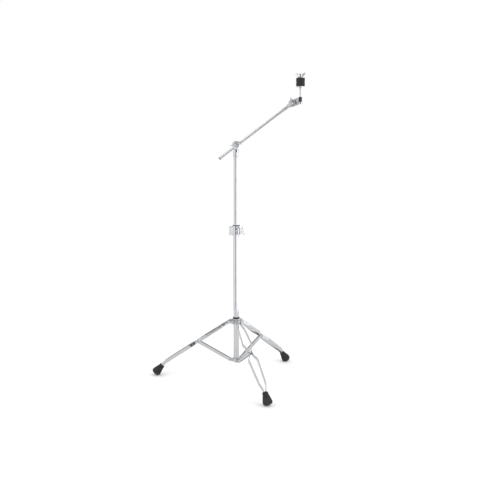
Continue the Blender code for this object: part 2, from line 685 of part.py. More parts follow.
# ---------------------------------------------------------------- boom
def make_boom():
    inner = BOOM_R - BOOM_WALL
    cap_height = 4.0
    tube_low = cap_height - BOOM_BACK
    tube_end = BOOM_FRONT - STEM_LENGTH
    along = {"rotation": (0, 90, 0), "parent": boom}
    add_ring("boom_tube", CHROME, inner, BOOM_R, tube_low, tube_end, edge=0.3, **along)
    low = tube_low - GAP
    cap = [
        (0, low + 10), (inner - GAP, low + 10), (inner - GAP, low), (BOOM_R + 0.6, low),
        (BOOM_R + 0.6, low - 2.5), (BOOM_R - 1, low - cap_height), (0, low - cap_height),
    ]
    turned(add_part("boom_end_cap", profile_mesh(cap), NYLON, **along))
    add_ring("boom_ferrule", CHROME, BOOM_R + GAP, 8.6, tube_end - 15, tube_end - 1, **along)


# ---------------------------------------------------------------- cymbal tilter
def make_cymbal_tilter():
    make_cymbal_tilter_lower()
    make_cymbal_tilter_upper()
    seat = CYMBAL_DISC + GAP
    end = -CYMBAL_DISC - 17
    bolt = [
        (0, seat + 4), (5.5, seat + 3.4), (7, seat + 0.8), (7, seat), (CYMBAL_BOLT_R, seat),
        (CYMBAL_BOLT_R, end), (0, end),
    ]
    bolt_mesh = profile_mesh(bolt)
    turned(add_part("cymbal_tilter_bolt", bolt_mesh, CHROME, rotation=(-90, 0, 0), parent=cymbal_tilt))
    boss = [(0, 13), (5.0, 13), (6.2, 11.5), (7.2, 5), (8.5, 1.5), (8.5, 0), (0, 0)]
    add_wing(
        "cymbal_tilter_wing_nut", boss, wing_outline(48, 24, 6.5, 6.5, 2), 4.2,
        bore=(CYMBAL_BOLT_R + 0.4, -5, 30), location=(0, -CYMBAL_DISC - GAP, 0), rotation=(90, 84, 0),
        parent=cymbal_tilt,
    )


def make_cymbal_tilter_lower():
    """Front ratchet disc with the stem that plugs into the boom."""
    stem_end = GAP - STEM_LENGTH
    disc = cylinder_mesh(DISC_R, -CYMBAL_DISC, -GAP / 2, "Y", COLLAR_ROUND)
    lower = add_part("cymbal_tilter_lower", disc, CHROME, parent=cymbal_tilt)
    bevel(lower, 1.0, angle=60)
    along_boom = frame_at("cymbal_tilter_stem_frame", (0, 0, 0), (0, -BOOM_SLOPE, 0), cymbal_tilt)
    stem = add_cutter("cymbal_tilter_stem", cylinder_mesh(7.5, stem_end, -18.5, "X"), parent=along_boom)
    web_box = box_mesh((-24, 0.6 - CYMBAL_DISC, -8.5), (-4, -GAP / 2 - 0.1, 8.5))
    web = add_cutter("cymbal_tilter_web", web_box, parent=along_boom)
    bevel(web, 1.5)
    spigot_mesh = cylinder_mesh(BOOM_R - BOOM_WALL - GAP, stem_end - 18, stem_end + 3, "X", SMALL_ROUND)
    spigot = add_cutter("cymbal_tilter_spigot", spigot_mesh, parent=along_boom)
    for piece in (stem, web, spigot):
        boolean(lower, piece, "UNION")
    hole = cylinder_mesh(CYMBAL_BOLT_R + 0.4, -20, 20, "Y", SMALL_ROUND)
    boolean(lower, add_cutter("cymbal_tilter_lower_hole", hole, parent=cymbal_tilt))


def make_cymbal_tilter_upper():
    """Rear ratchet disc with the arm, whose cup holds the socket of the cymbal rod."""
    disc = cylinder_mesh(DISC_R, GAP / 2, CYMBAL_DISC, "Y", COLLAR_ROUND)
    upper = add_part("cymbal_tilter_upper", disc, CHROME, parent=cymbal_tilt)
    bevel(upper, 1.0, angle=60)
    arm = [
        (0, -15), (10, -13.5), (ROD_OUT - 2, -5), (ROD_OUT + 6, 2), (ROD_OUT + 6, 4), (ROD_OUT - 8, 4),
        (ROD_OUT - 9, 22), (ROD_OUT - 11, 23), (16, 23), (12, 20), (6, 15), (0, 12),
    ]
    arm_plate = plate_mesh(arm, 0.5 - CYMBAL_DISC, -GAP / 2 - 0.1)
    arm_cutter = add_cutter("cymbal_tilter_arm", arm_plate, rotation=(90, 0, 0), parent=cymbal_tilt)
    rod_axis = frame_at("cymbal_rod_axis", (ROD_OUT, 0, 0), parent=cymbal_tilt)
    cup = add_cutter("cymbal_tilter_cup", cylinder_mesh(9.5, -6, 5), parent=rod_axis)
    bevel(cup, 0.8, angle=60)
    for piece in (arm_cutter, cup):
        boolean(upper, piece, "UNION")
    socket_room = cylinder_mesh(SOCKET_R + GAP, SOCKET_LOW - GAP, 50)
    boolean(upper, add_cutter("cymbal_tilter_socket_room", socket_room, parent=rod_axis))
    spigot_room = cylinder_mesh(SPIGOT_R + GAP, SPIGOT_LOW - GAP, 40)
    boolean(upper, add_cutter("cymbal_tilter_spigot_room", spigot_room, parent=rod_axis))
    hole = cylinder_mesh(CYMBAL_BOLT_R + 0.4, -5, 20, "Y", SMALL_ROUND)
    boolean(upper, add_cutter("cymbal_tilter_upper_hole", hole, parent=cymbal_tilt))
    make_cymbal_post(rod_axis)


def make_cymbal_post(post):
    """The rod and everything threaded on it, on one vertical axis."""
    rod_base = SOCKET_LOW + 3.5
    up = WASHER_Z - TILT_Z - BOOM_FRONT * sind(BOOM_SLOPE)
    hole = ROD_R + GAP
    inside = rod_base - GAP
    socket = [
        (0, inside), (hole, inside), (hole, SOCKET_TOP), (SOCKET_R - 1, SOCKET_TOP),
        (SOCKET_R, SOCKET_TOP - 1), (SOCKET_R, SOCKET_LOW), (SPIGOT_R, SOCKET_LOW), (SPIGOT_R, SPIGOT_LOW),
        (0, SPIGOT_LOW),
    ]
    turned(add_part("rod_socket", profile_mesh(socket), NYLON, parent=post))

    washer_h = 6.5
    felts_low = up + washer_h + GAP
    felts_top = felts_low + 2 * FELT_HEIGHT + GAP
    rod_top = felts_top + 15
    shoulder = up - GAP
    rod = [
        (0, rod_top), (ROD_R - 1, rod_top), (ROD_R, rod_top - 1.5), (ROD_R, shoulder), (5.6, shoulder),
        (5.6, shoulder - 2), (ROD_R, shoulder - 3), (ROD_R, rod_base), (0, rod_base),
    ]
    turned(add_part("cymbal_rod", profile_mesh(rod), CHROME, parent=post))
    cup = [
        (15.5, up + washer_h), (18.5, up + washer_h - 1.2), (18.0, up + 3.5), (11, up + 0.8), (7, up),
        (hole, up), (hole, up + washer_h),
    ]
    turned(add_part("seat_washer", profile_mesh(cup, closed=True), CHROME, parent=post))
    sleeve_r = ROD_R + GAP + 1.5
    add_ring("cymbal_sleeve", NYLON, hole, sleeve_r, felts_low, felts_top - 1.5, edge=0.3, parent=post)
    for name, low in (("lower_felt", felts_low), ("upper_felt", felts_low + FELT_HEIGHT + GAP)):
        add_ring(name, FELT, sleeve_r + GAP, FELT_R, low, low + FELT_HEIGHT, edge=1.6, parent=post)
    boss = [(0, 17), (6.2, 17), (7.4, 15.5), (8.2, 6), (11.5, 3), (11.5, 0), (0, 0)]
    add_wing(
        "cymbal_wing_nut", boss, wing_outline(46, 21, 6.5, 9.0, 3, dip=0.72), 4.6, bore=(hole, -5, 30),
        location=(0, 0, felts_top + GAP), rotation=(0, 0, -15), parent=post,
    )


make_base_tube()
make_tripod()
make_height_clamp()
make_upper_tube()
make_tilter_base()
make_tilter_head()
make_boom()
make_cymbal_tilter()
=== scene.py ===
"""Looks of the boom cymbal stand: fine chromed, nylon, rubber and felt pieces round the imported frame.

Shapes are made in millimetres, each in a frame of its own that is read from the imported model, and
dress() turns them into metres and hands them to the CAD node that they stand for.
"""

import json
import math

import bmesh
import bpy
from mathutils import Matrix, Vector


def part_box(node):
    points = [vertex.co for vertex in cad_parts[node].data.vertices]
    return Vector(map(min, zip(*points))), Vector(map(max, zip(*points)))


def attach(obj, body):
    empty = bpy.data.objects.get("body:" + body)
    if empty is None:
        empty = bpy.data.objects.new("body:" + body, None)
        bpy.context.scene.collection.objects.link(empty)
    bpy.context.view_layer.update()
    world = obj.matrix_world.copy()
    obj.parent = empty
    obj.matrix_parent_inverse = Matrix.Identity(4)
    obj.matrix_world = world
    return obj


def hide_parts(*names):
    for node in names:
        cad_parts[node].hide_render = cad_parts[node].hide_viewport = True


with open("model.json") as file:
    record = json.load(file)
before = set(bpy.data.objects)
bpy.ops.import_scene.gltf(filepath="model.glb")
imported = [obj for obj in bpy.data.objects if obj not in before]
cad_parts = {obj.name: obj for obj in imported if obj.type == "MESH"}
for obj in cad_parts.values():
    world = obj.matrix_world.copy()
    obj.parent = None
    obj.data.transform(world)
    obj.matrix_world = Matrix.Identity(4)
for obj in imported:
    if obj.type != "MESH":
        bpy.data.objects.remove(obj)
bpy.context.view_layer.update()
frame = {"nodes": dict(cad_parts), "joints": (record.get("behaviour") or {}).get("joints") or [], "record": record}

MM = 0.001
GAP = 0.3                       # clearance that the solids keep between touching pieces
FINE = 72                       # steps round a turned piece that is easily seen
SMALL = 40                      # steps round a bolt, a pin or a small nut
SHARP = math.radians(38)        # edges sharper than this aren't shaded over

# tubes and rods (radii)
BASE_TUBE_R, UPPER_TUBE_R, TUBE_WALL = 12.7, 11.1, 1.2
BOOM_R, BOOM_WALL = 6.35, 1.0
ROD_R = 4.0
# tripod
LEG_STRIP, BRACE_STRIP, STRIP_DEPTH = 2.6, 2.2, 15.0
LEG_WAIST, LEG_SHOULDER, LEG_BULGE, LEG_AT_FOOT = 6.7, 14.5, 20.5, 4.7
BRACE_WAIST = 4.0
STRIP_EASE = 6.0                # half the length of each sideways bend in a leg's strip
LEG_BEND_START, LEG_BEND_LENGTH, LEG_BEND = 358.0, 20.0, math.radians(14)
FOOT_START, LEG_IN_FOOT = 393.0, 20.0
FOOT_TOP_R, FOOT_R, FOOT_DOME, FOOT_WORN = 12.6, 20.5, 8.0, 1.6
PIN_R, PIN_HEAD, BRACE_PIN_HEAD = 3.0, 5.2, 4.8
LOCK_BOSS_END = 27.0            # from the pole's axis to the face that the leg hub's wing bolt goes into
# height clamp: half the width of its ears, and its bolt's distance from the pole's axis and radius
CLAMP_EAR_HALF, CLAMP_BOLT_X, CLAMP_BOLT_R = 9.0, 25.0, 3.0
# ratchet discs: their radius, and how thick the cymbal tilter's are
DISC_R, CYMBAL_DISC = 17.0, 9.6
TILT_TEETH, CYMBAL_TEETH = 48, 36
TILT_BOLT_R, CYMBAL_BOLT_R, CYMBAL_BOLT_HOLE = 4.0, 3.2, 3.6
TOOTH = 0.45                    # half the height of a ratchet tooth
# nylon socket that the cymbal rod stands in
SOCKET_R, SOCKET_LOW, SPIGOT_R = 7.3, 4.5, 5.0
# studio
FLOOR_R = 1.5
FLOOR_LIGHT = 1.15              # light from all round that brings the floor to white
CEILING = 0.85
# Greys round the room: 0 and 1 are behind the viewer, 0.25 is on the left and 0.75 on the right.
LOW_TONES = [
    (0.0, 1.5), (0.03, 0.2), (0.08, 0.2), (0.11, 1.4), (0.24, 1.4), (0.30, 0.75), (0.47, 0.75), (0.52, 1.8),
    (0.975, 1.9), (1.0, 1.5),
]
HIGH_TONES = [
    (0.0, 0.25), (0.05, 0.45), (0.10, 0.9), (0.20, 1.0), (0.30, 0.8), (0.50, 1.0), (0.70, 1.2), (0.88, 1.4),
    (0.92, 0.4), (0.94, 0.06), (1.0, 0.06),
]

RECORD = frame["record"]
JOINTS = {joint["name"]: joint for joint in frame["joints"]}
BODY_OF = {node: body for body, nodes in RECORD["behaviour"]["bodies"].items() for node in nodes}
SLOT_OF = {part["node"]: part["material_slot"] for part in RECORD["subparts"]}
LEGS = (1, 2, 3)
UP = Vector((0, 0, 1))


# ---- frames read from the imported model
def middle(*nodes):
    """The middle of the box round one or more CAD nodes."""
    lows, highs = zip(*(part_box(node) for node in nodes))
    low = Vector(min(corner[i] for corner in lows) for i in range(3))
    high = Vector(max(corner[i] for corner in highs) for i in range(3))
    return (low + high) / 2


def frame_from(origin, x_axis, y_axis):
    """A frame with its X along x_axis and its Y as near y_axis as a right angle allows."""
    x = Vector(x_axis).normalized()
    z = x.cross(Vector(y_axis)).normalized()
    y = z.cross(x)
    turn = Matrix((x, y, z)).transposed().to_4x4()
    return Matrix.Translation(Vector(origin)) @ turn


def joint_place(name):
    return Vector(JOINTS[name]["pos_m"])


def joint_axis(name):
    return Vector(JOINTS[name]["axis"]).normalized()


def upright(origin, y_axis):
    """A frame with its Z up and its Y along a level axis."""
    return frame_from(origin, Vector(y_axis).cross(UP), y_axis)


POLE = Matrix.Translation((*middle("base_tube").xy, 0))
POLE_XY = POLE.translation.xy
leg_hinges = {n: joint_place(f"leg_{n}_fold") for n in LEGS}
leg_mids = {n: middle(f"leg_{n}_left_rivet", f"leg_{n}_right_rivet") for n in LEGS}
brace_hinges = {n: joint_place(f"brace_{n}_fold") for n in LEGS}
LEG_FRAMES = {
    n: frame_from(leg_hinges[n], leg_mids[n] - leg_hinges[n], joint_axis(f"leg_{n}_fold")) for n in LEGS
}
BRACE_FRAMES = {
    n: frame_from(brace_hinges[n], leg_mids[n] - brace_hinges[n], joint_axis(f"leg_{n}_fold")) for n in LEGS
}
LEG_UPPER = (leg_mids[1] - leg_hinges[1]).length / MM
BRACE_LENGTH = (leg_mids[1] - brace_hinges[1]).length / MM
EAR_RADIUS = (leg_hinges[1].xy - POLE_XY).length / MM


def outward(n):
    """The level direction from the pole's axis out along a leg."""
    out = leg_hinges[n] - POLE.translation
    return Vector((out.x, out.y, 0)).normalized()


LEG_HUB = Matrix.Translation((*POLE_XY, leg_hinges[1].z))
BRACE_HUB = Matrix.Translation((*POLE_XY, brace_hinges[1].z))
CLAMP = Matrix.Translation((*POLE_XY, middle("height_clamp").z))
CLAMP_EARS = upright(CLAMP.translation, joint_axis("height_wing_bolt_turn"))
TILT = upright(joint_place("boom_tilt"), -joint_axis("boom_tilt"))
BOOM = frame_from(joint_place("boom_roll"), joint_axis("boom_slide"), -joint_axis("boom_tilt"))
CYMBAL_TILT = upright(joint_place("cymbal_tilt"), -joint_axis("cymbal_tilt"))
ROD = CYMBAL_TILT.copy()
ROD.translation = (*middle("cymbal_rod").xy, joint_place("cymbal_tilt").z)


def height_in(place, node):
    """A CAD node's lowest and highest Z, in mm above a frame that stands upright."""
    low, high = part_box(node)
    return (low.z - place.translation.z) / MM, (high.z - place.translation.z) / MM


# ---- shapes, in millimetres
def arc(centre, radius, start, end, count):
    """Points on an arc, angles in degrees, both ends included."""
    angles = [math.radians(start + (end - start) * i / (count - 1)) for i in range(count)]
    return [(centre[0] + radius * math.cos(a), centre[1] + radius * math.sin(a)) for a in angles]


def fillet(points, radius, closed=False, steps=4):
    """Rounds a profile's corners, apart from those on the axis."""
    if not radius:
        return points
    count = len(points)
    rounded = []
    for i, (x, y) in enumerate(points):
        if x < 1e-6 or (not closed and i in (0, count - 1)):
            rounded.append((x, y))
            continue
        here = Vector((x, y))
        before = Vector(points[i - 1]) - here
        after = Vector(points[(i + 1) % count]) - here
        reach = min(radius, before.length * 0.45, after.length * 0.45)
        start = here + before.normalized() * reach
        end = here + after.normalized() * reach
        for k in range(steps + 1):
            t = k / steps
            rounded.append(tuple(start * (1 - t) ** 2 + here * 2 * t * (1 - t) + end * t ** 2))
    return rounded


def lathe(profile, steps=FINE, closed=False, shape=None):
    """A turned solid from (radius, height) points. shape(index, angle) may shift a point's two numbers."""
    bm = bmesh.new()
    rings = []
    for index, (r, z) in enumerate(profile):
        if r < 1e-6:
            rings.append([bm.verts.new((0, 0, z))])
            continue
        ring = []
        for step in range(steps):
            angle = 2 * math.pi * step / steps
            dr, dz = shape(index, angle) if shape else (0, 0)
            ring.append(bm.verts.new(((r + dr) * math.cos(angle), (r + dr) * math.sin(angle), z + dz)))
        rings.append(ring)
    pairs = list(zip(rings, rings[1:])) + ([(rings[-1], rings[0])] if closed else [])
    for a, b in pairs:
        for i in range(steps):
            j = (i + 1) % steps
            if len(a) == 1 and len(b) > 1:
                bm.faces.new((a[0], b[j], b[i]))
            elif len(b) == 1 and len(a) > 1:
                bm.faces.new((a[i], a[j], b[0]))
            elif len(a) > 1:
                bm.faces.new((a[i], a[j], b[j], b[i]))
    bmesh.ops.recalc_face_normals(bm, faces=bm.faces)
    return bm


def spin(degrees, axis="Z"):
    return Matrix.Rotation(math.radians(degrees), 4, axis)


def turned_to(bm, axis):
    """Lays a shape made along Z along X or Y."""
    bm.transform(spin(90, "Y") if axis == "X" else spin(-90, "X"))
    return bm


def moved(bm, x=0.0, y=0.0, z=0.0, turn=0.0):
    """Turns a shape about Z, in degrees, and shifts it."""
    bm.transform(Matrix.Translation((x, y, z)) @ spin(turn))
    return bm


def rod_shape(radius, low, high, rounding=0.6, steps=SMALL):
    return lathe(fillet([(0, high), (radius, high), (radius, low), (0, low)], rounding), steps)


def ring_shape(inner, outer, low, high, rounding=0.8, steps=FINE):
    wall = [(outer, high), (outer, low), (inner, low), (inner, high)]
    return lathe(fillet(wall, rounding, True), steps, True)


def box_shape(low, high, rounding=1.5):
    """A box between two corners with rounded edges."""
    bm = bmesh.new()
    size = [b - a for a, b in zip(low, high)]
    centre = [(a + b) / 2 for a, b in zip(low, high)]
    bmesh.ops.create_cube(bm, size=1.0, matrix=Matrix.Translation(centre) @ Matrix.Diagonal((*size, 1)))
    if rounding:
        bmesh.ops.bevel(bm, geom=bm.edges[:], offset=rounding, segments=4, profile=0.5, affect="EDGES")
    return bm


def plate_shape(outline, low, high, rounding=1.0):
    """An outline in XY thickened along Z, with its rims rounded."""
    bm = bmesh.new()
    floor = bm.faces.new([bm.verts.new((x, y, low)) for x, y in outline])
    grown = bmesh.ops.extrude_face_region(bm, geom=[floor])
    top = [item for item in grown["geom"] if isinstance(item, bmesh.types.BMVert)]
    bmesh.ops.translate(bm, verts=top, vec=(0, 0, high - low))
    bmesh.ops.recalc_face_normals(bm, faces=bm.faces)
    rims = [e for e in bm.edges if abs(e.verts[0].co.z - e.verts[1].co.z) < 1e-6]
    bmesh.ops.bevel(
        bm, geom=rims, offset=rounding, segments=3, profile=0.5, affect="EDGES", clamp_overlap=True
    )
    bmesh.ops.remove_doubles(bm, verts=bm.verts, dist=1e-4)
    return bm


def loft(sections):
    """A solid through closed sections of equal length, capped at both ends."""
    bm = bmesh.new()
    rings = [[bm.verts.new(point) for point in section] for section in sections]
    for a, b in zip(rings, rings[1:]):
        for i in range(len(a)):
            j = (i + 1) % len(a)
            bm.faces.new((a[i], a[j], b[j], b[i]))
    bm.faces.new(rings[0])
    bm.faces.new(rings[-1])
    bmesh.ops.recalc_face_normals(bm, faces=bm.faces)
    return bm


def to_object(bm, name="shape"):
    mesh = bpy.data.meshes.new(name)
    bm.to_mesh(mesh)
    bm.free()
    shape = bpy.data.objects.new(name, mesh)
    bpy.context.scene.collection.objects.link(shape)
    return shape


def combine(base, *others):
    """Joins or cuts shapes: each of others is ("UNION" or "DIFFERENCE", shape)."""
    body = to_object(base)
    tools = []
    for operation, other in others:
        tool = to_object(other)
        tools.append(tool)
        step = body.modifiers.new("Step", "BOOLEAN")
        step.operation = operation
        step.solver = "EXACT"
        step.object = tool
    bpy.context.view_layer.update()
    evaluated = body.evaluated_get(bpy.context.evaluated_depsgraph_get())
    result = bmesh.new()
    mesh = bpy.data.meshes.new_from_object(evaluated)
    result.from_mesh(mesh)
    bpy.data.meshes.remove(mesh)
    for used in [body] + tools:
        data = used.data
        bpy.data.objects.remove(used)
        bpy.data.meshes.remove(data)
    bmesh.ops.remove_doubles(result, verts=result.verts, dist=1e-4)
    return result


def dress(node, bm, place, finish=None):
    """The fine piece that stands for a CAD node: it takes the node's body, slot and finish."""
    bm.transform(Matrix.Scale(MM, 4))
    piece = to_object(bm, node + "_piece")
    piece.matrix_world = place
    mesh = piece.data
    mesh.materials.clear()
    mesh.materials.append(FINISHES[finish or SLOT_OF[node]])
    mesh.shade_smooth()
    mesh.set_sharp_from_angle(angle=SHARP)
    normals = piece.modifiers.new("Weighted normals", "WEIGHTED_NORMAL")
    normals.keep_sharp = True
    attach(piece, BODY_OF[node])
    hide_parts(node)
    return piece


# ---- finishes
class Finish:
    """A Principled material and short ways to feed its sockets with noise."""

    def __init__(self, name, colour, roughness, metallic=0.0):
        self.material = bpy.data.materials.new(name)
        self.material.use_nodes = True
        self.tree = self.material.node_tree
        self.shader = self.tree.nodes["Principled BSDF"]
        self.set("Base Color", (*colour, 1))
        self.set("Roughness", roughness)
        self.set("Metallic", metallic)
        self.material.diffuse_color = (*colour, 1)
        self.coords = self.node("ShaderNodeTexCoord").outputs["Object"]

    def node(self, kind, **settings):
        made = self.tree.nodes.new(kind)
        for key, value in settings.items():
            setattr(made, key, value)
        return made

    def link(self, source, target):
        self.tree.links.new(source, target)

    def set(self, socket, value):
        self.shader.inputs[socket].default_value = value

    def feed(self, socket, source):
        self.link(source, self.shader.inputs[socket])

    def noise(self, scale, detail=3.0, stretch=(1, 1, 1), roughness=0.55):
        """Noise in object space. scale is features per metre."""
        mapping = self.node("ShaderNodeMapping")
        mapping.inputs["Scale"].default_value = stretch
        self.link(self.coords, mapping.inputs["Vector"])
        noise = self.node("ShaderNodeTexNoise")
        noise.inputs["Scale"].default_value = scale
        noise.inputs["Detail"].default_value = detail
        noise.inputs["Roughness"].default_value = roughness
        self.link(mapping.outputs["Vector"], noise.inputs["Vector"])
        return noise.outputs["Fac"]

    def span(self, source, low, high, to_low, to_high):
        """Maps a value from one span to another, held at its ends."""
        node = self.node("ShaderNodeMapRange")
        for socket, value in zip(("From Min", "From Max", "To Min", "To Max"), (low, high, to_low, to_high)):
            node.inputs[socket].default_value = value
        self.link(source, node.inputs["Value"])
        return node.outputs["Result"]

    def math(self, operation, a, b):
        node = self.node("ShaderNodeMath", operation=operation)
        for socket, value in zip(node.inputs, (a, b)):
            if isinstance(value, (int, float)):
                socket.default_value = value
            else:
                self.link(value, socket)
        return node.outputs["Value"]

    def mix(self, factor, a, b):
        node = self.node("ShaderNodeMix", data_type="RGBA")
        colours = [s for s in node.inputs if s.type == "RGBA"]
        self.link(factor, node.inputs["Factor"])
        for socket, value in zip(colours, (a, b)):
            if isinstance(value, tuple):
                socket.default_value = (*value, 1)
            else:
                self.link(value, socket)
        return next(s for s in node.outputs if s.type == "RGBA")

    def bumps(self, *layers):
        """Bump layers, each (height, strength, distance in metres), one on the other."""
        normal = None
        for height, strength, distance in layers:
            bump = self.node("ShaderNodeBump")
            bump.inputs["Strength"].default_value = strength
            bump.inputs["Distance"].default_value = distance
            self.link(height, bump.inputs["Height"])
            if normal:
                self.link(normal, bump.inputs["Normal"])
            normal = bump.outputs["Normal"]
        self.feed("Normal", normal)

    def edges(self, low, high):
        """0 on open faces to 1 on outer edges."""
        return self.span(self.node("ShaderNodeNewGeometry").outputs["Pointiness"], low, high, 0, 1)


def chrome(name, colour, dull, polish, ripple, grain):
    """Chrome plate: smudges and wipe marks along the piece's own Z in its gloss, and a faint ripple."""
    finish = Finish(name, colour, polish, 1.0)
    smudges = finish.span(finish.noise(22, 4), 0.42, 0.68, polish, dull)
    wipes = finish.span(finish.noise(260, 2, grain), 0.35, 0.7, -0.02, 0.05)
    finish.feed("Roughness", finish.math("ADD", smudges, wipes))
    clouds = finish.span(finish.noise(35, 3), 0.35, 0.65, 0, 1)
    plate = finish.mix(clouds, colour, tuple(c * 0.93 for c in colour))
    rubbed = finish.span(finish.noise(90, 5), 0.45, 0.6, 0, 0.55)
    worn = finish.math("MULTIPLY", finish.edges(0.52, 0.6), rubbed)
    finish.feed("Base Color", finish.mix(worn, plate, tuple(c * 0.78 for c in colour)))
    scratches = finish.span(finish.noise(900, 1, grain[::-1]), 0.60, 0.66, 0, 1)
    finish.bumps((finish.noise(55, 2), ripple, 0.0006), (scratches, 0.03, 0.00003))
    return finish.material


def nylon():
    """Black moulded nylon: a fine spark-eroded grain, and edges rubbed grey."""
    black, grey = (0.018, 0.018, 0.020), (0.09, 0.09, 0.095)
    finish = Finish("black_nylon", black, 0.42)
    finish.set("Specular IOR Level", 0.45)
    finish.feed("Roughness", finish.span(finish.noise(70, 4), 0.35, 0.7, 0.34, 0.52))
    rubbed = finish.span(finish.noise(400, 3), 0.4, 0.65, 0, 0.8)
    worn = finish.math("MULTIPLY", finish.edges(0.52, 0.62), rubbed)
    finish.feed("Base Color", finish.mix(worn, black, grey))
    finish.bumps((finish.noise(3200, 2), 0.18, 0.00006))
    return finish.material


def rubber():
    """Matt black rubber with a bloom, scuffs, and floor dust low on the foot."""
    finish = Finish("black_rubber", (0.018, 0.018, 0.019), 0.72)
    finish.set("Specular IOR Level", 0.35)
    patches = finish.span(finish.noise(60, 5), 0.4, 0.7, 0, 1)
    bloom = finish.mix(patches, (0.014, 0.014, 0.015), (0.032, 0.032, 0.034))
    height = finish.node("ShaderNodeSeparateXYZ")
    finish.link(finish.coords, height.inputs["Vector"])
    low_down = finish.span(height.outputs["Z"], 0.002, 0.014, 1, 0)
    dust = finish.math("MULTIPLY", low_down, finish.span(finish.noise(240, 6), 0.42, 0.7, 0, 0.55))
    finish.feed("Base Color", finish.mix(dust, bloom, (0.16, 0.15, 0.14)))
    finish.feed("Roughness", finish.span(finish.noise(110, 4), 0.35, 0.7, 0.58, 0.86))
    finish.bumps((finish.noise(900, 3), 0.25, 0.0001), (finish.noise(2800, 2), 0.2, 0.00005))
    return finish.material


def felt():
    """Pressed black wool felt: matted fibres, a soft sheen and a little lint."""
    finish = Finish("black_felt", (0.028, 0.028, 0.030), 1.0)
    finish.set("Specular IOR Level", 0.15)
    finish.set("Sheen Weight", 0.25)
    finish.set("Sheen Roughness", 0.6)
    finish.set("Sheen Tint", (0.6, 0.6, 0.62, 1))
    fibres = finish.noise(1500, 6, (1, 1, 2.4), 0.7)
    tone = finish.mix(finish.span(fibres, 0.35, 0.68, 0, 1), (0.010, 0.010, 0.011), (0.034, 0.034, 0.037))
    lint = finish.span(finish.noise(700, 2, (1, 3, 1)), 0.69, 0.73, 0, 0.6)
    finish.feed("Base Color", finish.mix(lint, tone, (0.22, 0.22, 0.22)))
    finish.bumps((finish.noise(380, 4), 0.5, 0.0004), (fibres, 0.7, 0.00035))
    return finish.material


ALONG = (1, 1, 0.03)
FINISHES = {
    "chromed_tube": chrome("chromed_tube", (0.56, 0.565, 0.575), 0.13, 0.06, 0.01, ALONG),
    "chromed_strip": chrome("chromed_strip", (0.53, 0.535, 0.54), 0.22, 0.12, 0.06, (0.05, 1, 1)),
    "chromed_casting": chrome("chromed_casting", (0.53, 0.535, 0.545), 0.18, 0.10, 0.14, (1, 1, 1)),
    "plated_rivet": chrome("plated_rivet", (0.46, 0.465, 0.47), 0.30, 0.14, 0.10, (1, 1, 1)),
    "black_nylon": nylon(),
    "black_rubber": rubber(),
    "black_felt": felt(),
}


# ---- pole
def tube_shape(radius, wall, low, high):
    return ring_shape(radius - wall, radius, low, high, 0.35)


def make_pole():
    low, high = height_in(POLE, "base_tube")
    dress("base_tube", tube_shape(BASE_TUBE_R, TUBE_WALL, low, high), POLE)

    bore = BASE_TUBE_R - TUBE_WALL - GAP
    low, high = height_in(POLE, "base_tube_plug")
    rim = low + 5
    plug = [
        (0, high), (bore, high), (bore, rim), (BASE_TUBE_R, rim), (BASE_TUBE_R, low + 2),
        (BASE_TUBE_R - 2, low), (5, low), (4.4, low + 1.2), (0, low + 1.2),
    ]
    dress("base_tube_plug", lathe(fillet(plug, 0.7)), POLE)

    low, high = height_in(POLE, "upper_tube")
    dress("upper_tube", tube_shape(UPPER_TUBE_R, TUBE_WALL, low, high), POLE)
    low, high = height_in(POLE, "tube_guide")
    inner = UPPER_TUBE_R - TUBE_WALL - GAP
    neck = high - 12 - GAP
    guide = [(0, high), (inner - 1, high), (inner, high - 1), (inner, neck), (bore, neck), (bore, low + 1),
             (bore - 1, low), (0, low)]
    dress("tube_guide", lathe(fillet(guide, 0.5)), POLE)


# ---- tripod
def ear_shape(radius, root, half):
    """A hinge ear from the collar out to a round end about its pin, standing in the XZ plane."""
    outline = [(root, -radius)] + arc((EAR_RADIUS, 0), radius, -90, 90, 25) + [(root, radius)]
    ear = plate_shape(outline, -half, half, 0.7)
    ear.transform(spin(90, "X"))
    return ear


def azimuth_of(direction):
    return math.degrees(math.atan2(direction.y, direction.x))


def collar_with_ears(low, high, outer, ear_r, ear_half, *extra):
    """A cast collar with three ears, a raised bead at each rim, and its bore."""
    wall = [(BASE_TUBE_R - 3, high), (outer, high), (outer, high - 2.6), (outer - 0.9, high - 3.6),
            (outer - 0.9, low + 3.6), (outer, low + 2.6), (outer, low), (BASE_TUBE_R - 3, low)]
    collar = lathe(fillet(wall, 0.8, True), FINE, True)
    ears = [moved(ear_shape(ear_r, BASE_TUBE_R, ear_half), turn=azimuth_of(outward(n))) for n in LEGS]
    steps = [("UNION", shape) for shape in ears + list(extra)]
    bore = rod_shape(BASE_TUBE_R + GAP, low - 5, high + 5, 0, FINE)
    return combine(collar, *steps, ("DIFFERENCE", bore))


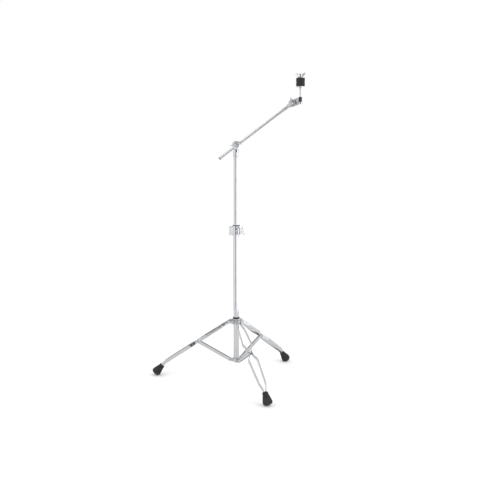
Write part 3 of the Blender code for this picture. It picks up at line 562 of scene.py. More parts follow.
def wing_shape(span, rise, lobe, root, droop, thickness, bend=0.0, dip=0.45):
    """The pair of wings of a wing nut: X across, Z along its axis, from tip to tip through the boss.

    dip is how high the wings' upper edge meets the boss, as a share of the rise.
    """
    lobe_x, lobe_z = span / 2 - lobe, rise - lobe
    root_z, root_half = (rise * dip + droop) / 2, (rise * dip - droop) / 2
    tips = [lobe_x + lobe * math.sin(math.radians(a)) for a in (20, 40, 55, 68, 78, 86)]
    half_places = [0.0, root * 0.6, root] + [root + (lobe_x - root) * i / 5 for i in range(1, 6)] + tips
    sections = []
    for x in [-p for p in reversed(half_places[1:])] + half_places:
        away = min(max((abs(x) - root) / (lobe_x - root), 0.0), 1.0)
        ease = away * away * (3 - 2 * away)
        past = min(max(abs(x) - lobe_x, 0.0) / lobe, 1.0)
        round_off = math.sqrt(1 - past ** 2)
        z = root_z + (lobe_z - root_z) * ease
        half = (root_half + (lobe - root_half) * ease - 1.2 * math.sin(math.pi * away)) * round_off
        thick = thickness / 2 * (1.25 - 0.4 * ease) * round_off ** 0.6
        sweep = math.copysign(bend * away ** 2, x)
        section = []
        for i in range(20):
            a = 2 * math.pi * i / 20
            c, s = math.cos(a), math.sin(a)
            y_at = sweep + thick * math.copysign(abs(c) ** 0.62, c)
            section.append((x, y_at, z + half * math.copysign(abs(s) ** 0.85, s)))
        sections.append(section)
    return loft(sections)


def winged(boss, wings, bore=None):
    """A wing nut or wing bolt's head: a turned boss joined with its wings, and bored if it is a nut."""
    steps = [("UNION", wing_shape(*wings))]
    if bore:
        steps.append(("DIFFERENCE", rod_shape(*bore, 0, SMALL)))
    return combine(lathe(fillet(boss, 0.9), SMALL), *steps)


def thread_shape(radius, low, high, pitch=1.25, depth=0.35, steps=SMALL):
    """A threaded rod: a true helix, run out to a chamfer at each end."""
    rows_per_turn = 6
    rows = int((high - low) / pitch * rows_per_turn)
    heights = [low + (high - low) * i / rows for i in range(rows + 1)]
    profile = [(0, low)] + [(radius, z) for z in heights] + [(0, high)]

    def cut(index, angle):
        z = profile[index][1]
        phase = (z / pitch - angle / (2 * math.pi)) % 1.0
        groove = depth * (1 - abs(2 * phase - 1))
        chamfer = max(0.8 - (z - low), 0.8 - (high - z), 0.0)
        return -max(groove, chamfer), 0

    return lathe(profile, steps, shape=cut)


def rivet_shape(reach, head=PIN_HEAD):
    """A hinge pin along Z with a domed, lipped head at each end."""
    end = reach + GAP
    dome = [(0, end + 2.3)] + [(head * math.sin(math.radians(a)), end + 0.5 + 1.8 * math.cos(math.radians(a)))
                               for a in (15, 32, 50, 68, 84)] + [(head, end)]
    half = dome + [(PIN_R, end)]
    return lathe(half + [(r, -z) for r, z in reversed(half)], SMALL)


def bent(s, z):
    """A point of the leg at s along it and z above its middle line, after the bend near the foot."""
    radius = LEG_BEND_LENGTH / LEG_BEND
    angle = min(max(s - LEG_BEND_START, 0.0), LEG_BEND_LENGTH) / radius
    rest = max(s - LEG_BEND_START - LEG_BEND_LENGTH, 0.0)
    x = min(s, LEG_BEND_START) + radius * math.sin(angle) + rest * math.cos(angle)
    drop = radius * (1 - math.cos(angle)) + rest * math.sin(angle)
    return x + z * math.sin(angle), -drop + z * math.cos(angle)


def straight_between(s, knots):
    for (s0, y0), (s1, y1) in zip(knots, knots[1:]):
        if s <= s1:
            return y0 + (y1 - y0) * max(s - s0, 0.0) / (s1 - s0)
    return knots[-1][1]


def along_knots(s, knots):
    """A line through (position, offset) knots with each corner eased into a short bend."""
    return sum(straight_between(s + STRIP_EASE * step / 4, knots) for step in range(-4, 5)) / 9


def strip_section(half, thickness, camber):
    """A flat bar's section, depth by thickness, its long edges rounded and its outer face crowned."""
    t = thickness / 2
    r = min(t * 0.75, half * 0.5)
    corners = arc((half - r, t - r), r, 0, 90, 4) + arc((r - half, t - r), r, 90, 180, 4)
    corners += arc((r - half, r - t), r, 180, 270, 4) + arc((half - r, r - t), r, 270, 360, 4)
    middles = {3: (0.4, 0.0, -0.4), 11: (-0.4, 0.0, 0.4)}
    points = []
    for i, (u, v) in enumerate(corners):
        points.append((u, v))
        points += [(share * half * 2 * 0.9, v) for share in middles.get(i, ())]
    return [(u, v + camber * (1 - (u / half) ** 2)) for u, v in points]


def strip_shape(knots, side, thickness, bends, camber):
    """A bar on edge that bows sideways along its knots, with half-round ends."""
    first, last = knots[0][0], knots[-1][0]
    half = STRIP_DEPTH / 2
    ends = [half * (1 - math.cos(math.radians(a))) for a in (4, 15, 30, 45, 60, 75, 90)]
    places = {first + e for e in ends} | {last - e for e in ends}
    count = int((last - first - 2 * half) / 3)
    places |= {first + half + (last - first - 2 * half) * i / count for i in range(count)}
    sections = []
    for s in sorted(places):
        slope = (along_knots(s + 0.5, knots) - along_knots(s - 0.5, knots)) * side
        across = Vector((-slope, 1.0)).normalized()
        y = side * along_knots(s, knots)
        inset = max(half - (s - first), half - (last - s), 0.0)
        deep = math.sqrt(max(half ** 2 - inset ** 2, 0.25))
        section = []
        for u, v in strip_section(deep, thickness, camber * deep / half):
            v *= side
            at = s + v * across.x
            x, z = bent(at, u) if bends else (at, u)
            section.append((x, y + v * across.y, z))
        sections.append(section)
    return loft(sections)


def pin_hole(s):
    hole = moved(rod_shape(PIN_R + GAP, -40, 40, 0), turn=4)
    return ("DIFFERENCE", moved(turned_to(hole, "Y"), x=s))


def foot_shape(place):
    """A rubber boot: a beaded collar, a flared body with grip ribs and a sole worn flat by the floor."""
    x, z = bent(FOOT_START, 0)
    at = place @ Matrix.Translation((x * MM, 0, z * MM)) @ Matrix.Rotation(LEG_BEND - math.pi / 2, 4, "Y")
    down = -at.to_3x3().col[2]
    reach = math.hypot(FOOT_DOME * down.z, FOOT_R * math.hypot(down.x, down.y))
    length = (at.translation.z / MM - reach + FOOT_WORN) / -down.z
    neck = FOOT_TOP_R - 1.1
    profile = [
        (0, 0), (FOOT_TOP_R - 1.6, 0), (FOOT_TOP_R, -1.6), (FOOT_TOP_R, -6.6), (neck, -7.8), (neck, -9.0),
    ]
    flare_top, flare_end = 10.5, length - 6
    ribs = 7
    for i in range(ribs * 4 + 1):
        share = i / (ribs * 4)
        radius = neck + 1.7 + (FOOT_R - neck - 1.7) * (share ** 0.9)
        groove = 0.55 if 4 <= i <= 20 and i % 4 == 2 else 0.0
        profile.append((radius - groove, -(flare_top + (flare_end - flare_top) * share)))
    profile += [(FOOT_R, -length)]
    profile += [(FOOT_R * math.cos(math.radians(a)), -length - FOOT_DOME * math.sin(math.radians(a)))
                for a in (8, 16, 26, 36, 48, 60, 72, 82)]
    profile.append((0, -length - FOOT_DOME))
    boot = lathe(profile)
    mouth_y = LEG_AT_FOOT + LEG_STRIP / 2 + GAP
    mouth_x = STRIP_DEPTH / 2 + GAP
    mouth = box_shape((-mouth_x, -mouth_y, -LEG_IN_FOOT - GAP), (mouth_x, mouth_y, 5), 0)
    boot = combine(boot, ("DIFFERENCE", mouth))
    on_floor = Matrix.Translation((at.translation.x, at.translation.y, 0))
    boot.transform(Matrix.Scale(1 / MM, 4) @ on_floor.inverted() @ at @ Matrix.Scale(MM, 4))
    for vert in boot.verts:
        vert.co.z = max(vert.co.z, 0.0)
    return boot, on_floor


def make_legs():
    mid = LEG_UPPER
    knots = [
        (-STRIP_DEPTH / 2, LEG_WAIST), (20, LEG_WAIST), (47, LEG_SHOULDER), (mid - 46, LEG_BULGE),
        (mid - 14, LEG_WAIST), (mid + 14, LEG_WAIST), (mid + 38, LEG_BULGE), (355, LEG_SHOULDER),
        (386, LEG_AT_FOOT), (FOOT_START + LEG_IN_FOOT, LEG_AT_FOOT),
    ]
    half = STRIP_DEPTH / 2
    brace_knots = [(-half, BRACE_WAIST), (BRACE_LENGTH + half, BRACE_WAIST)]
    for n in LEGS:
        leg, brace = LEG_FRAMES[n], BRACE_FRAMES[n]
        for label, side in (("left", 1), ("right", -1)):
            strip = strip_shape(knots, side, LEG_STRIP, True, 0.25)
            dress(f"leg_{n}_{label}_strip", combine(strip, pin_hole(0), pin_hole(mid)), leg)
            strip = strip_shape(brace_knots, side, BRACE_STRIP, False, 0.15)
            dress(f"brace_{n}_{label}_strip", combine(strip, pin_hole(0), pin_hole(BRACE_LENGTH)), brace)
        rivet = turned_to(rivet_shape(LEG_WAIST + LEG_STRIP / 2), "Y")
        piece = dress(f"leg_{n}_left_rivet", moved(rivet, x=mid), leg)
        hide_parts(f"leg_{n}_right_rivet")
        boot, at = foot_shape(leg)
        dress(f"foot_{n}", boot, at)


def lock_bolt():
    """Where the leg hub's wing bolt sits, and the level direction from the pole's axis out to it."""
    at = joint_place("leg_hub_wing_bolt_turn")
    return at, Vector((at.x - POLE_XY.x, at.y - POLE_XY.y, 0)).normalized()


def make_leg_hub():
    """The sliding collar with the boss for its wing bolt, and the nylon bushing on top."""
    ear_half = LEG_WAIST - LEG_STRIP / 2 - GAP
    low, high = height_in(LEG_HUB, "leg_hub")
    bolt_place, out = lock_bolt()
    middle_z = (bolt_place.z - LEG_HUB.translation.z) / MM
    boss_profile = [(0, LOCK_BOSS_END), (6.6, LOCK_BOSS_END), (8, LOCK_BOSS_END - 1.6), (8, 14), (0, 14)]
    boss = turned_to(lathe(fillet(boss_profile, 0.8), SMALL), "X")
    boss = moved(boss, z=middle_z, turn=azimuth_of(out))
    dress("leg_hub", collar_with_ears(low, high, 18.5, 8.0, ear_half, boss), LEG_HUB)
    low, high = height_in(LEG_HUB, "leg_hub_bushing")
    bore = BASE_TUBE_R + GAP
    bushing = [(15.2, high - 1.4), (14.4, high), (bore, high), (bore, low), (15.2, low)]
    dress("leg_hub_bushing", lathe(fillet(bushing, 0.4, True), FINE, True), LEG_HUB)


def make_brace_hub():
    low, high = height_in(BRACE_HUB, "brace_hub")
    ear_half = BRACE_WAIST - BRACE_STRIP / 2 - GAP
    ears_below = 1.0            # the round ears hang this far below the collar
    dress("brace_hub", collar_with_ears(low + ears_below, high, 17.5, 7.5, ear_half), BRACE_HUB)


def make_hinge_pins():
    for n in LEGS:
        across = joint_axis(f"leg_{n}_fold")
        pin = turned_to(rivet_shape(LEG_WAIST + LEG_STRIP / 2), "Y")
        dress(f"leg_hub_pin_{n}", pin, frame_from(leg_hinges[n], outward(n), across))
        pin = turned_to(rivet_shape(BRACE_WAIST + BRACE_STRIP / 2, BRACE_PIN_HEAD), "Y")
        dress(f"brace_hub_pin_{n}", pin, frame_from(brace_hinges[n], outward(n), across))


def make_leg_hub_bolt():
    bolt_place, out = lock_bolt()
    boss = [(0, 15), (4.4, 15), (6.0, 13), (6.6, 8), (6.6, 0), (0, 0)]
    head = winged(boss, (44, 24, 6.5, 6, 3, 4.0, 0.8))
    shank = thread_shape(PIN_R, BASE_TUBE_R + GAP - LOCK_BOSS_END - 1, 1)
    level = UP.cross(out)
    place = frame_from(bolt_place, level, out.cross(level))
    roll = spin(8)
    dress("leg_hub_wing_bolt", combine(head, ("UNION", shank)), place @ roll)


# ---- height clamp
def make_height_clamp():
    """A split collar with a lug on one side and a pair of ears that its wing bolt draws together."""
    half = (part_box("height_clamp")[1].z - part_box("height_clamp")[0].z) / MM / 2
    wall = [(10, half), (17.0, half), (17.8, half - 2.5), (17.8, -half + 2.5), (17.0, -half), (10, -half)]
    clamp = lathe(fillet(wall, 0.9, True), FINE, True)
    lug = box_shape((-31, -9, -20), (-14, 9, 19), 2.2)
    ears_turn = azimuth_of(CLAMP_EARS.to_3x3() @ Vector((1, 0, 0)))
    end = arc((27, -8), 6, -90, 0, 9) + arc((27, 8), 6, 0, 90, 9)
    ears = plate_shape([(13, -14)] + end + [(13, 14)], -CLAMP_EAR_HALF, CLAMP_EAR_HALF, 1.4)
    ears.transform(spin(90, "X"))
    slit = box_shape((8, -1.6, -half - 5), (40, 1.6, half + 5), 0)
    groove = box_shape((-34, -10, -1.0), (-28, 10, 1.0), 0.6)
    body = combine(
        clamp,
        ("UNION", lug),
        ("UNION", moved(ears, turn=ears_turn)),
        ("DIFFERENCE", rod_shape(BASE_TUBE_R + GAP, -half - 5, half + 5, 0, FINE)),
        ("DIFFERENCE", moved(slit, turn=ears_turn)),
        ("DIFFERENCE", groove),
    )
    dress("height_clamp", body, CLAMP)
    make_clamp_bushing(half + GAP)
    make_clamp_bolt()


def make_clamp_bushing(seat):
    """The nylon sleeve in the clamp's mouth. Its rim rests on the clamp at the height seat."""
    rim_top = height_in(CLAMP, "height_clamp_bushing")[1]
    tube_top = height_in(CLAMP, "base_tube")[1] + GAP
    neck, bore = BASE_TUBE_R, UPPER_TUBE_R + GAP
    sleeve = [
        (15.2, rim_top), (16.4, rim_top - 1.2), (16.4, seat), (neck, seat), (neck, tube_top),
        (bore, tube_top), (bore, rim_top),
    ]
    dress("height_clamp_bushing", lathe(fillet(sleeve, 0.4, True), FINE, True), CLAMP)


def make_clamp_bolt():
    boss = [(0, 13), (4.4, 13), (5.9, 11.2), (6.6, 6), (6.6, 0), (0, 0)]
    head = winged(boss, (40, 21, 6.0, 6, 2, 4.0, 0.7))
    shank = thread_shape(CLAMP_BOLT_R, -2 * CLAMP_EAR_HALF - 9, 1)
    head_place = Matrix.Translation((CLAMP_BOLT_X * MM, (CLAMP_EAR_HALF + GAP) * MM, 0))
    turn = spin(-90, "X") @ spin(78)
    dress("height_wing_bolt", combine(head, ("UNION", shank)), CLAMP_EARS @ head_place @ turn)

    nut_y = -CLAMP_EAR_HALF - GAP
    hexagon = [(0, nut_y), (6.6, nut_y), (6.6, nut_y - 5), (0, nut_y - 5)]
    nut = lathe(fillet(hexagon, 0.8, steps=2), 6)
    for face in nut.faces:
        face.smooth = False
    nut = combine(nut, ("DIFFERENCE", rod_shape(CLAMP_BOLT_R + GAP, nut_y - 9, nut_y + 4, 0)))
    dress("height_clamp_nut", moved(turned_to(nut, "Y"), x=CLAMP_BOLT_X), CLAMP_EARS)


# ---- boom tilter
def ratchet_disc(back, face, teeth, rim=DISC_R, hub=6.5):
    """A disc along Z whose face carries radial teeth. Both discs follow the same wave, so they mesh."""
    toward = 1 if face > back else -1
    depth = TOOTH + 0.35
    profile = [
        (0, back), (rim - 2.2, back), (rim - 0.6, back + 0.6 * toward), (rim, back + 2.2 * toward),
        (rim, face - 2.0 * toward), (rim - 0.4, face - depth * toward), (rim - 0.9, face), (hub + 0.5, face),
        (hub, face - depth * toward), (0, face - depth * toward),
    ]

    def tooth(index, angle):
        if index not in (6, 7):
            return 0, 0
        share = (angle * teeth / (2 * math.pi)) % 1.0
        wave = (abs(2 * share - 1) - 0.5) * 2 * TOOTH
        return 0, wave * (1.0 if index == 6 else 0.45)

    return lathe(profile, teeth * 4, shape=tooth)


def bolt_hole(radius, low, high):
    return ("DIFFERENCE", turned_to(rod_shape(radius, low, high, 0), "Y"))


def make_tilter_base():
    """Socket on the upper tube, a neck, and the front ratchet disc."""
    top = height_in(TILT, "upper_tube")[1]
    skirt = top - 16
    socket = [
        (0, top + 20), (8, top + 20), (12.0, top + 16), (13.2, top + 6), (13.2, top + 1), (12.7, top),
        (12.7, skirt + 3), (13.1, skirt + 2.4), (13.1, skirt + 0.8), (12.4, skirt), (0, skirt),
    ]
    neck = box_shape((-9, -9.7, top + 4), (9, -GAP - 0.4, 0), 2.2)
    disc = turned_to(ratchet_disc(-10, -GAP / 2, TILT_TEETH), "Y")
    bore = rod_shape(UPPER_TUBE_R + GAP, skirt - 5, top + GAP, 0, FINE)
    clearance = turned_to(rod_shape(DISC_R + 1.5, -GAP - TOOTH, 30, 0, FINE), "Y")
    base = combine(
        lathe(fillet(socket, 0.9), FINE), ("UNION", neck), ("DIFFERENCE", clearance), ("UNION", disc),
        bolt_hole(TILT_BOLT_R + GAP, -20, 12), ("DIFFERENCE", bore),
    )
    dress("tilter_base", base, TILT)


def make_tilter_head():
    """Rear ratchet disc with the saddle, and the eye bolt and wing nut that pull the boom into it."""
    boom_y = (BOOM.translation - TILT.translation).length / MM
    to_tilt = TILT.inverted() @ BOOM
    shift = Matrix.Translation(to_tilt.translation / MM) @ to_tilt.to_3x3().to_4x4()
    disc = turned_to(ratchet_disc(9, GAP / 2, TILT_TEETH), "Y")
    saddle = box_shape((-14, 8.2 - boom_y, -10.5), (14, 8, 10.5), 2.6)
    boom_bore = turned_to(rod_shape(BOOM_R + GAP, -30, 30, 0, FINE), "X")
    slot = box_shape((-4.9, -11.2, -20), (4.9, 20, 20), 0)
    for shape in (saddle, boom_bore, slot):
        shape.transform(shift)
    head = combine(
        disc, ("UNION", saddle), ("DIFFERENCE", boom_bore), ("DIFFERENCE", slot),
        bolt_hole(TILT_BOLT_R + GAP, -5, 12),
    )
    dress("tilter_head", head, TILT)

    eye = turned_to(rod_shape(10.2, -4.5, 4.5, 1.1, FINE), "X")
    shank = turned_to(thread_shape(TILT_BOLT_R, -boom_y - 26, -8), "Y")
    bore = turned_to(rod_shape(BOOM_R + GAP, -10, 10, 0, FINE), "X")
    dress("tilter_eye_bolt", combine(eye, ("UNION", shank), ("DIFFERENCE", bore)), BOOM)

    boss = [(0, 14), (6.0, 14), (7.4, 12.2), (8.3, 5), (9.5, 1.8), (9.5, 0), (0, 0)]
    nut = winged(boss, (50, 25, 7.0, 7.5, 2, 4.4, 1.0), (TILT_BOLT_R + GAP, -5, 30))
    place = TILT @ Matrix.Translation((0, -10.3 * MM, 0)) @ spin(90, "X")
    dress("tilter_wing_nut", nut, place @ spin(13))


# ---- boom
def along_boom(node):
    """A CAD node's ends along the boom's axis, in mm, from its vertices."""
    to_boom = BOOM.inverted()
    places = [(to_boom @ vert.co).x / MM for vert in frame["nodes"][node].data.vertices]
    return min(places), max(places)


def make_boom():
    low, high = along_boom("boom_tube")
    inner = BOOM_R - BOOM_WALL
    dress("boom_tube", tube_shape(BOOM_R, BOOM_WALL, low, high), BOOM @ spin(90, "Y"))
    cap_low, cap_high = along_boom("boom_end_cap")
    rim = low - GAP
    cap = [(0, cap_high), (inner - GAP, cap_high), (inner - GAP, rim), (BOOM_R + 0.6, rim),
           (BOOM_R + 0.6, rim - 2.5), (BOOM_R - 1, cap_low), (0, cap_low)]
    dress("boom_end_cap", lathe(fillet(cap, 0.8), SMALL), BOOM @ spin(90, "Y"))
    ferrule_low, ferrule_high = along_boom("boom_ferrule")
    bore, outer = BOOM_R + GAP, 8.6
    wall = [(outer, ferrule_high), (outer, ferrule_high - 4), (outer - 0.8, ferrule_high - 4.8),
            (outer - 0.8, ferrule_low + 4.8), (outer, ferrule_low + 4), (outer, ferrule_low),
            (bore, ferrule_low), (bore, ferrule_high)]
    ferrule = lathe(fillet(wall, 0.5, True), FINE, True)
    dress("boom_ferrule", ferrule, BOOM @ spin(90, "Y"))


# ---- cymbal tilter and rod
def make_cymbal_tilter_lower():
    """Front ratchet disc with the stem that plugs into the boom."""
    slope = Matrix.Rotation(-math.asin(BOOM.to_3x3().col[0].z), 4, "Y")
    stem_end = along_boom("boom_tube")[1] - (CYMBAL_TILT.translation - BOOM.translation).length / MM + GAP
    stem = turned_to(lathe(fillet([(0, -16), (7.5, -18), (7.5, stem_end), (0, stem_end)], 0.9), FINE), "X")
    web = box_shape((-24, 0.6 - CYMBAL_DISC, -8.5), (-4, -GAP / 2 - 0.5, 8.5), 2.0)
    spigot = turned_to(rod_shape(BOOM_R - BOOM_WALL - GAP, stem_end - 18, stem_end + 3), "X")
    for shape in (stem, web, spigot):
        shape.transform(slope)
    clearance = turned_to(rod_shape(DISC_R + 1.0, -GAP / 2 - TOOTH, 30, 0, FINE), "Y")
    disc = turned_to(ratchet_disc(-CYMBAL_DISC, -GAP / 4, CYMBAL_TEETH), "Y")
    lower = combine(
        stem, ("UNION", web), ("UNION", spigot), ("DIFFERENCE", clearance), ("UNION", disc),
        bolt_hole(CYMBAL_BOLT_HOLE, -20, 20),
    )
    dress("cymbal_tilter_lower", lower, CYMBAL_TILT)


def make_cymbal_tilter_upper():
    """Rear ratchet disc with the arm, whose cup holds the socket of the cymbal rod."""
    reach = (ROD.translation - CYMBAL_TILT.translation).length / MM
    outline = [
        (0, -15), (10, -13.5), (reach - 2, -5), (reach + 6, 2), (reach + 6, 4), (reach - 8, 4),
        (reach - 9, 22), (reach - 11, 23), (16, 23), (12, 20), (6, 15), (0, 12),
    ]
    arm = plate_shape(fillet(outline, 1.5, True), 0.5 - CYMBAL_DISC, -GAP / 2 - 0.6, 0.5)
    arm.transform(spin(90, "X"))
    cup = moved(rod_shape(9.5, -6, 5, 1.2, FINE), x=reach)
    disc = turned_to(ratchet_disc(CYMBAL_DISC, GAP / 4, CYMBAL_TEETH), "Y")
    wide, narrow = SOCKET_R + GAP, SPIGOT_R + GAP
    step_z, deep_z = SOCKET_LOW - GAP, height_in(ROD, "rod_socket")[0] - GAP
    room = lathe([(0, 50), (wide, 50), (wide, step_z), (narrow, step_z), (narrow, deep_z), (0, deep_z)])
    upper = combine(
        disc, ("UNION", arm), ("UNION", cup), ("DIFFERENCE", moved(room, x=reach, turn=2)),
        bolt_hole(CYMBAL_BOLT_HOLE, -5, 20),
    )
    dress("cymbal_tilter_upper", upper, CYMBAL_TILT)


def make_cymbal_tilter_bolt():
    seat = CYMBAL_DISC + GAP
    low = seat - 3
    dome = arc((0, low), 7.4, 70, 30, 6)
    head = [(0, seat + 4)] + dome + [(7, seat), (CYMBAL_BOLT_R, seat), (CYMBAL_BOLT_R, low), (0, low)]
    shank = thread_shape(CYMBAL_BOLT_R, -CYMBAL_DISC - 17, seat - 1)
    bolt = combine(lathe(head, SMALL), ("UNION", shank))
    dress("cymbal_tilter_bolt", turned_to(bolt, "Y"), CYMBAL_TILT)

    boss = [(0, 13), (5.0, 13), (6.3, 11.2), (7.3, 5), (8.5, 1.8), (8.5, 0), (0, 0)]
    nut = winged(boss, (48, 24, 6.5, 6.5, 2, 4.2, 1.0), (CYMBAL_BOLT_HOLE, -5, 30))
    place = CYMBAL_TILT @ Matrix.Translation((0, -seat * MM, 0)) @ spin(90, "X")
    dress("cymbal_tilter_wing_nut", nut, place @ spin(84))


def felt_shape(inner, outer, low, high, seed):
    """A felt washer: crowned sides, soft rims and a lumpy, matted surface."""
    side = [(outer - 1.8, high), (outer - 0.5, high - 0.7), (outer - 0.05, high - 2.2)]
    rows = 9
    for i in range(1, rows):
        t = i / rows
        side.append((outer + 0.25 * math.sin(math.pi * t), high - 2.2 - (high - low - 4.4) * t))
    side += [(outer - 0.05, low + 2.2), (outer - 0.5, low + 0.7), (outer - 1.8, low)]
    flat = [outer - 5, outer - 9]
    profile = side + [(r, low) for r in flat] + [(inner, low), (inner, high)]
    profile += [(r, high) for r in reversed(flat)]

    def lumps(index, angle):
        r, z = profile[index]
        if r < inner + 0.5:
            return 0, 0
        wave = math.sin(3 * angle + seed) + 0.6 * math.sin(7 * angle - 2 * seed + z * 0.6)
        wave += 0.5 * math.sin(13 * angle + 1.7 * z + seed)
        return 0.09 * wave, 0.04 * wave if r < outer - 1 else 0

    return lathe(profile, 96, True, lumps)


def make_cymbal_post():
    hole = ROD_R + GAP
    low, high = height_in(ROD, "rod_socket")
    rod_low, rod_high = height_in(ROD, "cymbal_rod")
    inside = rod_low - GAP
    socket = [
        (0, inside), (hole, inside), (hole, high), (SOCKET_R - 1, high), (SOCKET_R, high - 1),
        (SOCKET_R, SOCKET_LOW), (SPIGOT_R, SOCKET_LOW), (SPIGOT_R, low), (0, low),
    ]
    dress("rod_socket", lathe(fillet(socket, 0.5), FINE), ROD)

    cup_low, cup_high = height_in(ROD, "seat_washer")
    cup = [
        (15.3, cup_high), (18.5, cup_high - 1.2), (18.0, cup_low + 3.5), (11, cup_low + 0.8), (7, cup_low),
        (hole, cup_low), (hole, cup_high - 1.6), (6.5, cup_high - 1.6), (7.5, cup_high),
    ]
    dress("seat_washer", lathe(fillet(cup, 0.8, True), FINE, True), ROD)

    shoulder = cup_low - GAP
    thread_from = cup_high
    plain = [
        (0, thread_from + 1), (ROD_R - 0.4, thread_from + 1), (ROD_R, thread_from), (ROD_R, shoulder),
        (5.6, shoulder), (5.6, shoulder - 2), (ROD_R, shoulder - 3), (ROD_R, rod_low), (0, rod_low),
    ]
    thread = thread_shape(ROD_R, thread_from, rod_high)
    dress("cymbal_rod", combine(lathe(fillet(plain, 0.4), SMALL), ("UNION", thread)), ROD)

    low, high = height_in(ROD, "cymbal_sleeve")
    dress("cymbal_sleeve", ring_shape(hole, hole + 1.5, low, high, 0.3, SMALL), ROD)
    felt_r = (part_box("lower_felt")[1].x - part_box("lower_felt")[0].x) / MM / 2
    for seed, node in enumerate(("lower_felt", "upper_felt")):
        low, high = height_in(ROD, node)
        dress(node, felt_shape(hole + 1.5 + GAP, felt_r - 0.3, low, high, 1.3 + 2.1 * seed), ROD)

    low, high = height_in(ROD, "cymbal_wing_nut")
    boss = [(0, 17), (6.2, 17), (7.5, 15.2), (8.3, 6), (11.5, 3), (11.5, 0), (0, 0)]
    nut = winged(boss, (46, high - low, 6.5, 9.0, 3, 4.6, 1.2, 0.72), (hole, -5, 30))
    place = ROD @ Matrix.Translation((0, 0, low * MM))
    dress("cymbal_wing_nut", nut, place @ spin(-15))


# ---- studio
def make_floor():
    bpy.ops.mesh.primitive_circle_add(vertices=96, radius=FLOOR_R, fill_type="NGON", location=(0, 0, -0.0005))
    floor = bpy.context.object
    floor.name = "studio_floor"
    finish = Finish("pale_floor", (0.90, 0.90, 0.90), 0.75)
    finish.set("Specular IOR Level", 0.2)
    tone = finish.span(finish.noise(3, 4), 0.3, 0.7, 0, 1)
    finish.feed("Base Color", finish.mix(tone, (0.90, 0.90, 0.90), (0.885, 0.885, 0.89)))
    floor.data.materials.append(finish.material)


def make_world():
    """A studio that is plain white to the camera and lights the floor evenly.

    What shines sees a room instead: a dark gap behind the viewer, pale walls and a grey ceiling.
    """
    world = bpy.data.worlds.new("studio")
    bpy.context.scene.world = world
    world.use_nodes = True
    tree = world.node_tree
    tree.nodes.clear()
    new, link = tree.nodes.new, tree.links.new
    split = new("ShaderNodeSeparateXYZ")
    link(new("ShaderNodeTexCoord").outputs["Generated"], split.inputs["Vector"])
    turn = new("ShaderNodeMath")
    turn.operation = "ARCTAN2"
    link(split.outputs["X"], turn.inputs[0])
    link(split.outputs["Y"], turn.inputs[1])
    around = world_span(tree, turn.outputs["Value"], -math.pi, math.pi)
    walls = blend(tree, world_span(tree, split.outputs["Z"], -0.02, 0.10),
                  ramp(tree, around, LOW_TONES), ramp(tree, around, HIGH_TONES))
    ceiling = world_span(tree, split.outputs["Z"], 0.45, 0.80)
    room = blend(tree, ceiling, walls, (CEILING, CEILING, CEILING, 1))
    shining = background(tree, room, 1.0)
    even = background(tree, (1, 1, 1.01, 1), FLOOR_LIGHT)
    white = background(tree, (1, 1, 1, 1), 1.0)
    path = new("ShaderNodeLightPath")
    lighting = mix_shaders(tree, path.outputs["Is Glossy Ray"], even, shining)
    seen = mix_shaders(tree, path.outputs["Is Camera Ray"], lighting, white)
    link(seen, new("ShaderNodeOutputWorld").inputs["Surface"])


def world_span(tree, source, low, high):
    node = tree.nodes.new("ShaderNodeMapRange")
    node.inputs["From Min"].default_value = low
    node.inputs["From Max"].default_value = high
    tree.links.new(source, node.inputs["Value"])
    return node.outputs["Result"]


def ramp(tree, source, tones):
    """Greys along a value from 0 to 1, as (place, grey) pairs."""
    node = tree.nodes.new("ShaderNodeValToRGB")
    stops = node.color_ramp.elements
    while len(stops) < len(tones):
        stops.new(0.5)
    for stop, (place, grey) in zip(stops, tones):
        stop.position = place
        stop.color = (grey, grey, grey * 1.02, 1)
    tree.links.new(source, node.inputs["Fac"])
    return node.outputs["Color"]


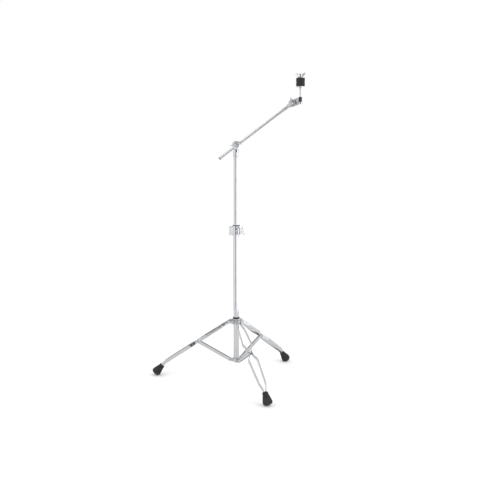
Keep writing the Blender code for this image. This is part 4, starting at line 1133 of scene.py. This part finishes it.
def blend(tree, factor, a, b):
    node = tree.nodes.new("ShaderNodeMix")
    node.data_type = "RGBA"
    tree.links.new(factor, node.inputs["Factor"])
    for socket, value in zip([s for s in node.inputs if s.type == "RGBA"], (a, b)):
        if isinstance(value, tuple):
            socket.default_value = value
        else:
            tree.links.new(value, socket)
    return next(s for s in node.outputs if s.type == "RGBA")


def background(tree, colour, strength):
    node = tree.nodes.new("ShaderNodeBackground")
    node.inputs["Strength"].default_value = strength
    if isinstance(colour, tuple):
        node.inputs["Color"].default_value = colour
    else:
        tree.links.new(colour, node.inputs["Color"])
    return node.outputs["Background"]


def mix_shaders(tree, factor, a, b):
    node = tree.nodes.new("ShaderNodeMixShader")
    for source, socket in zip((factor, a, b), node.inputs):
        tree.links.new(source, socket)
    return node.outputs["Shader"]


def add_light(name, place, aim, size, power):
    """A soft box that looks at a point."""
    data = bpy.data.lights.new(name, "AREA")
    data.shape = "RECTANGLE"
    data.size, data.size_y = size
    data.energy = power
    light = bpy.data.objects.new(name, data)
    light.location = place
    light.rotation_euler = (Vector(aim) - Vector(place)).to_track_quat("-Z", "Y").to_euler()
    bpy.context.scene.collection.objects.link(light)


def make_camera():
    """The camera, placed from the pole's foot in millimetres and looking slightly down."""
    aside, back, height, pitch = 16.6, 3229.0, 1033.0, 6.92
    data = bpy.data.cameras.new("camera")
    data.sensor_width = 36.0
    data.lens = 54.5
    camera = bpy.data.objects.new("camera", data)
    camera.location = POLE.translation + Vector((aside, -back, height)) * MM
    camera.rotation_euler = (math.radians(90 - pitch), 0, 0)
    bpy.context.scene.collection.objects.link(camera)
    bpy.context.scene.camera = camera


make_camera()
make_pole()
make_legs()
make_leg_hub()
make_brace_hub()
make_hinge_pins()
make_leg_hub_bolt()
make_height_clamp()
make_tilter_base()
make_tilter_head()
make_boom()
make_cymbal_tilter_lower()
make_cymbal_tilter_upper()
make_cymbal_tilter_bolt()
make_cymbal_post()
make_floor()
make_world()
add_light("soft_box_right", (2.4, -1.2, 2.2), (0, 0, 0.7), (0.9, 1.8), 14)
add_light("soft_box_left", (-2.4, -1.0, 2.0), (0, 0, 0.6), (0.7, 1.6), 7)
bpy.context.scene.view_settings.view_transform = "Standard"
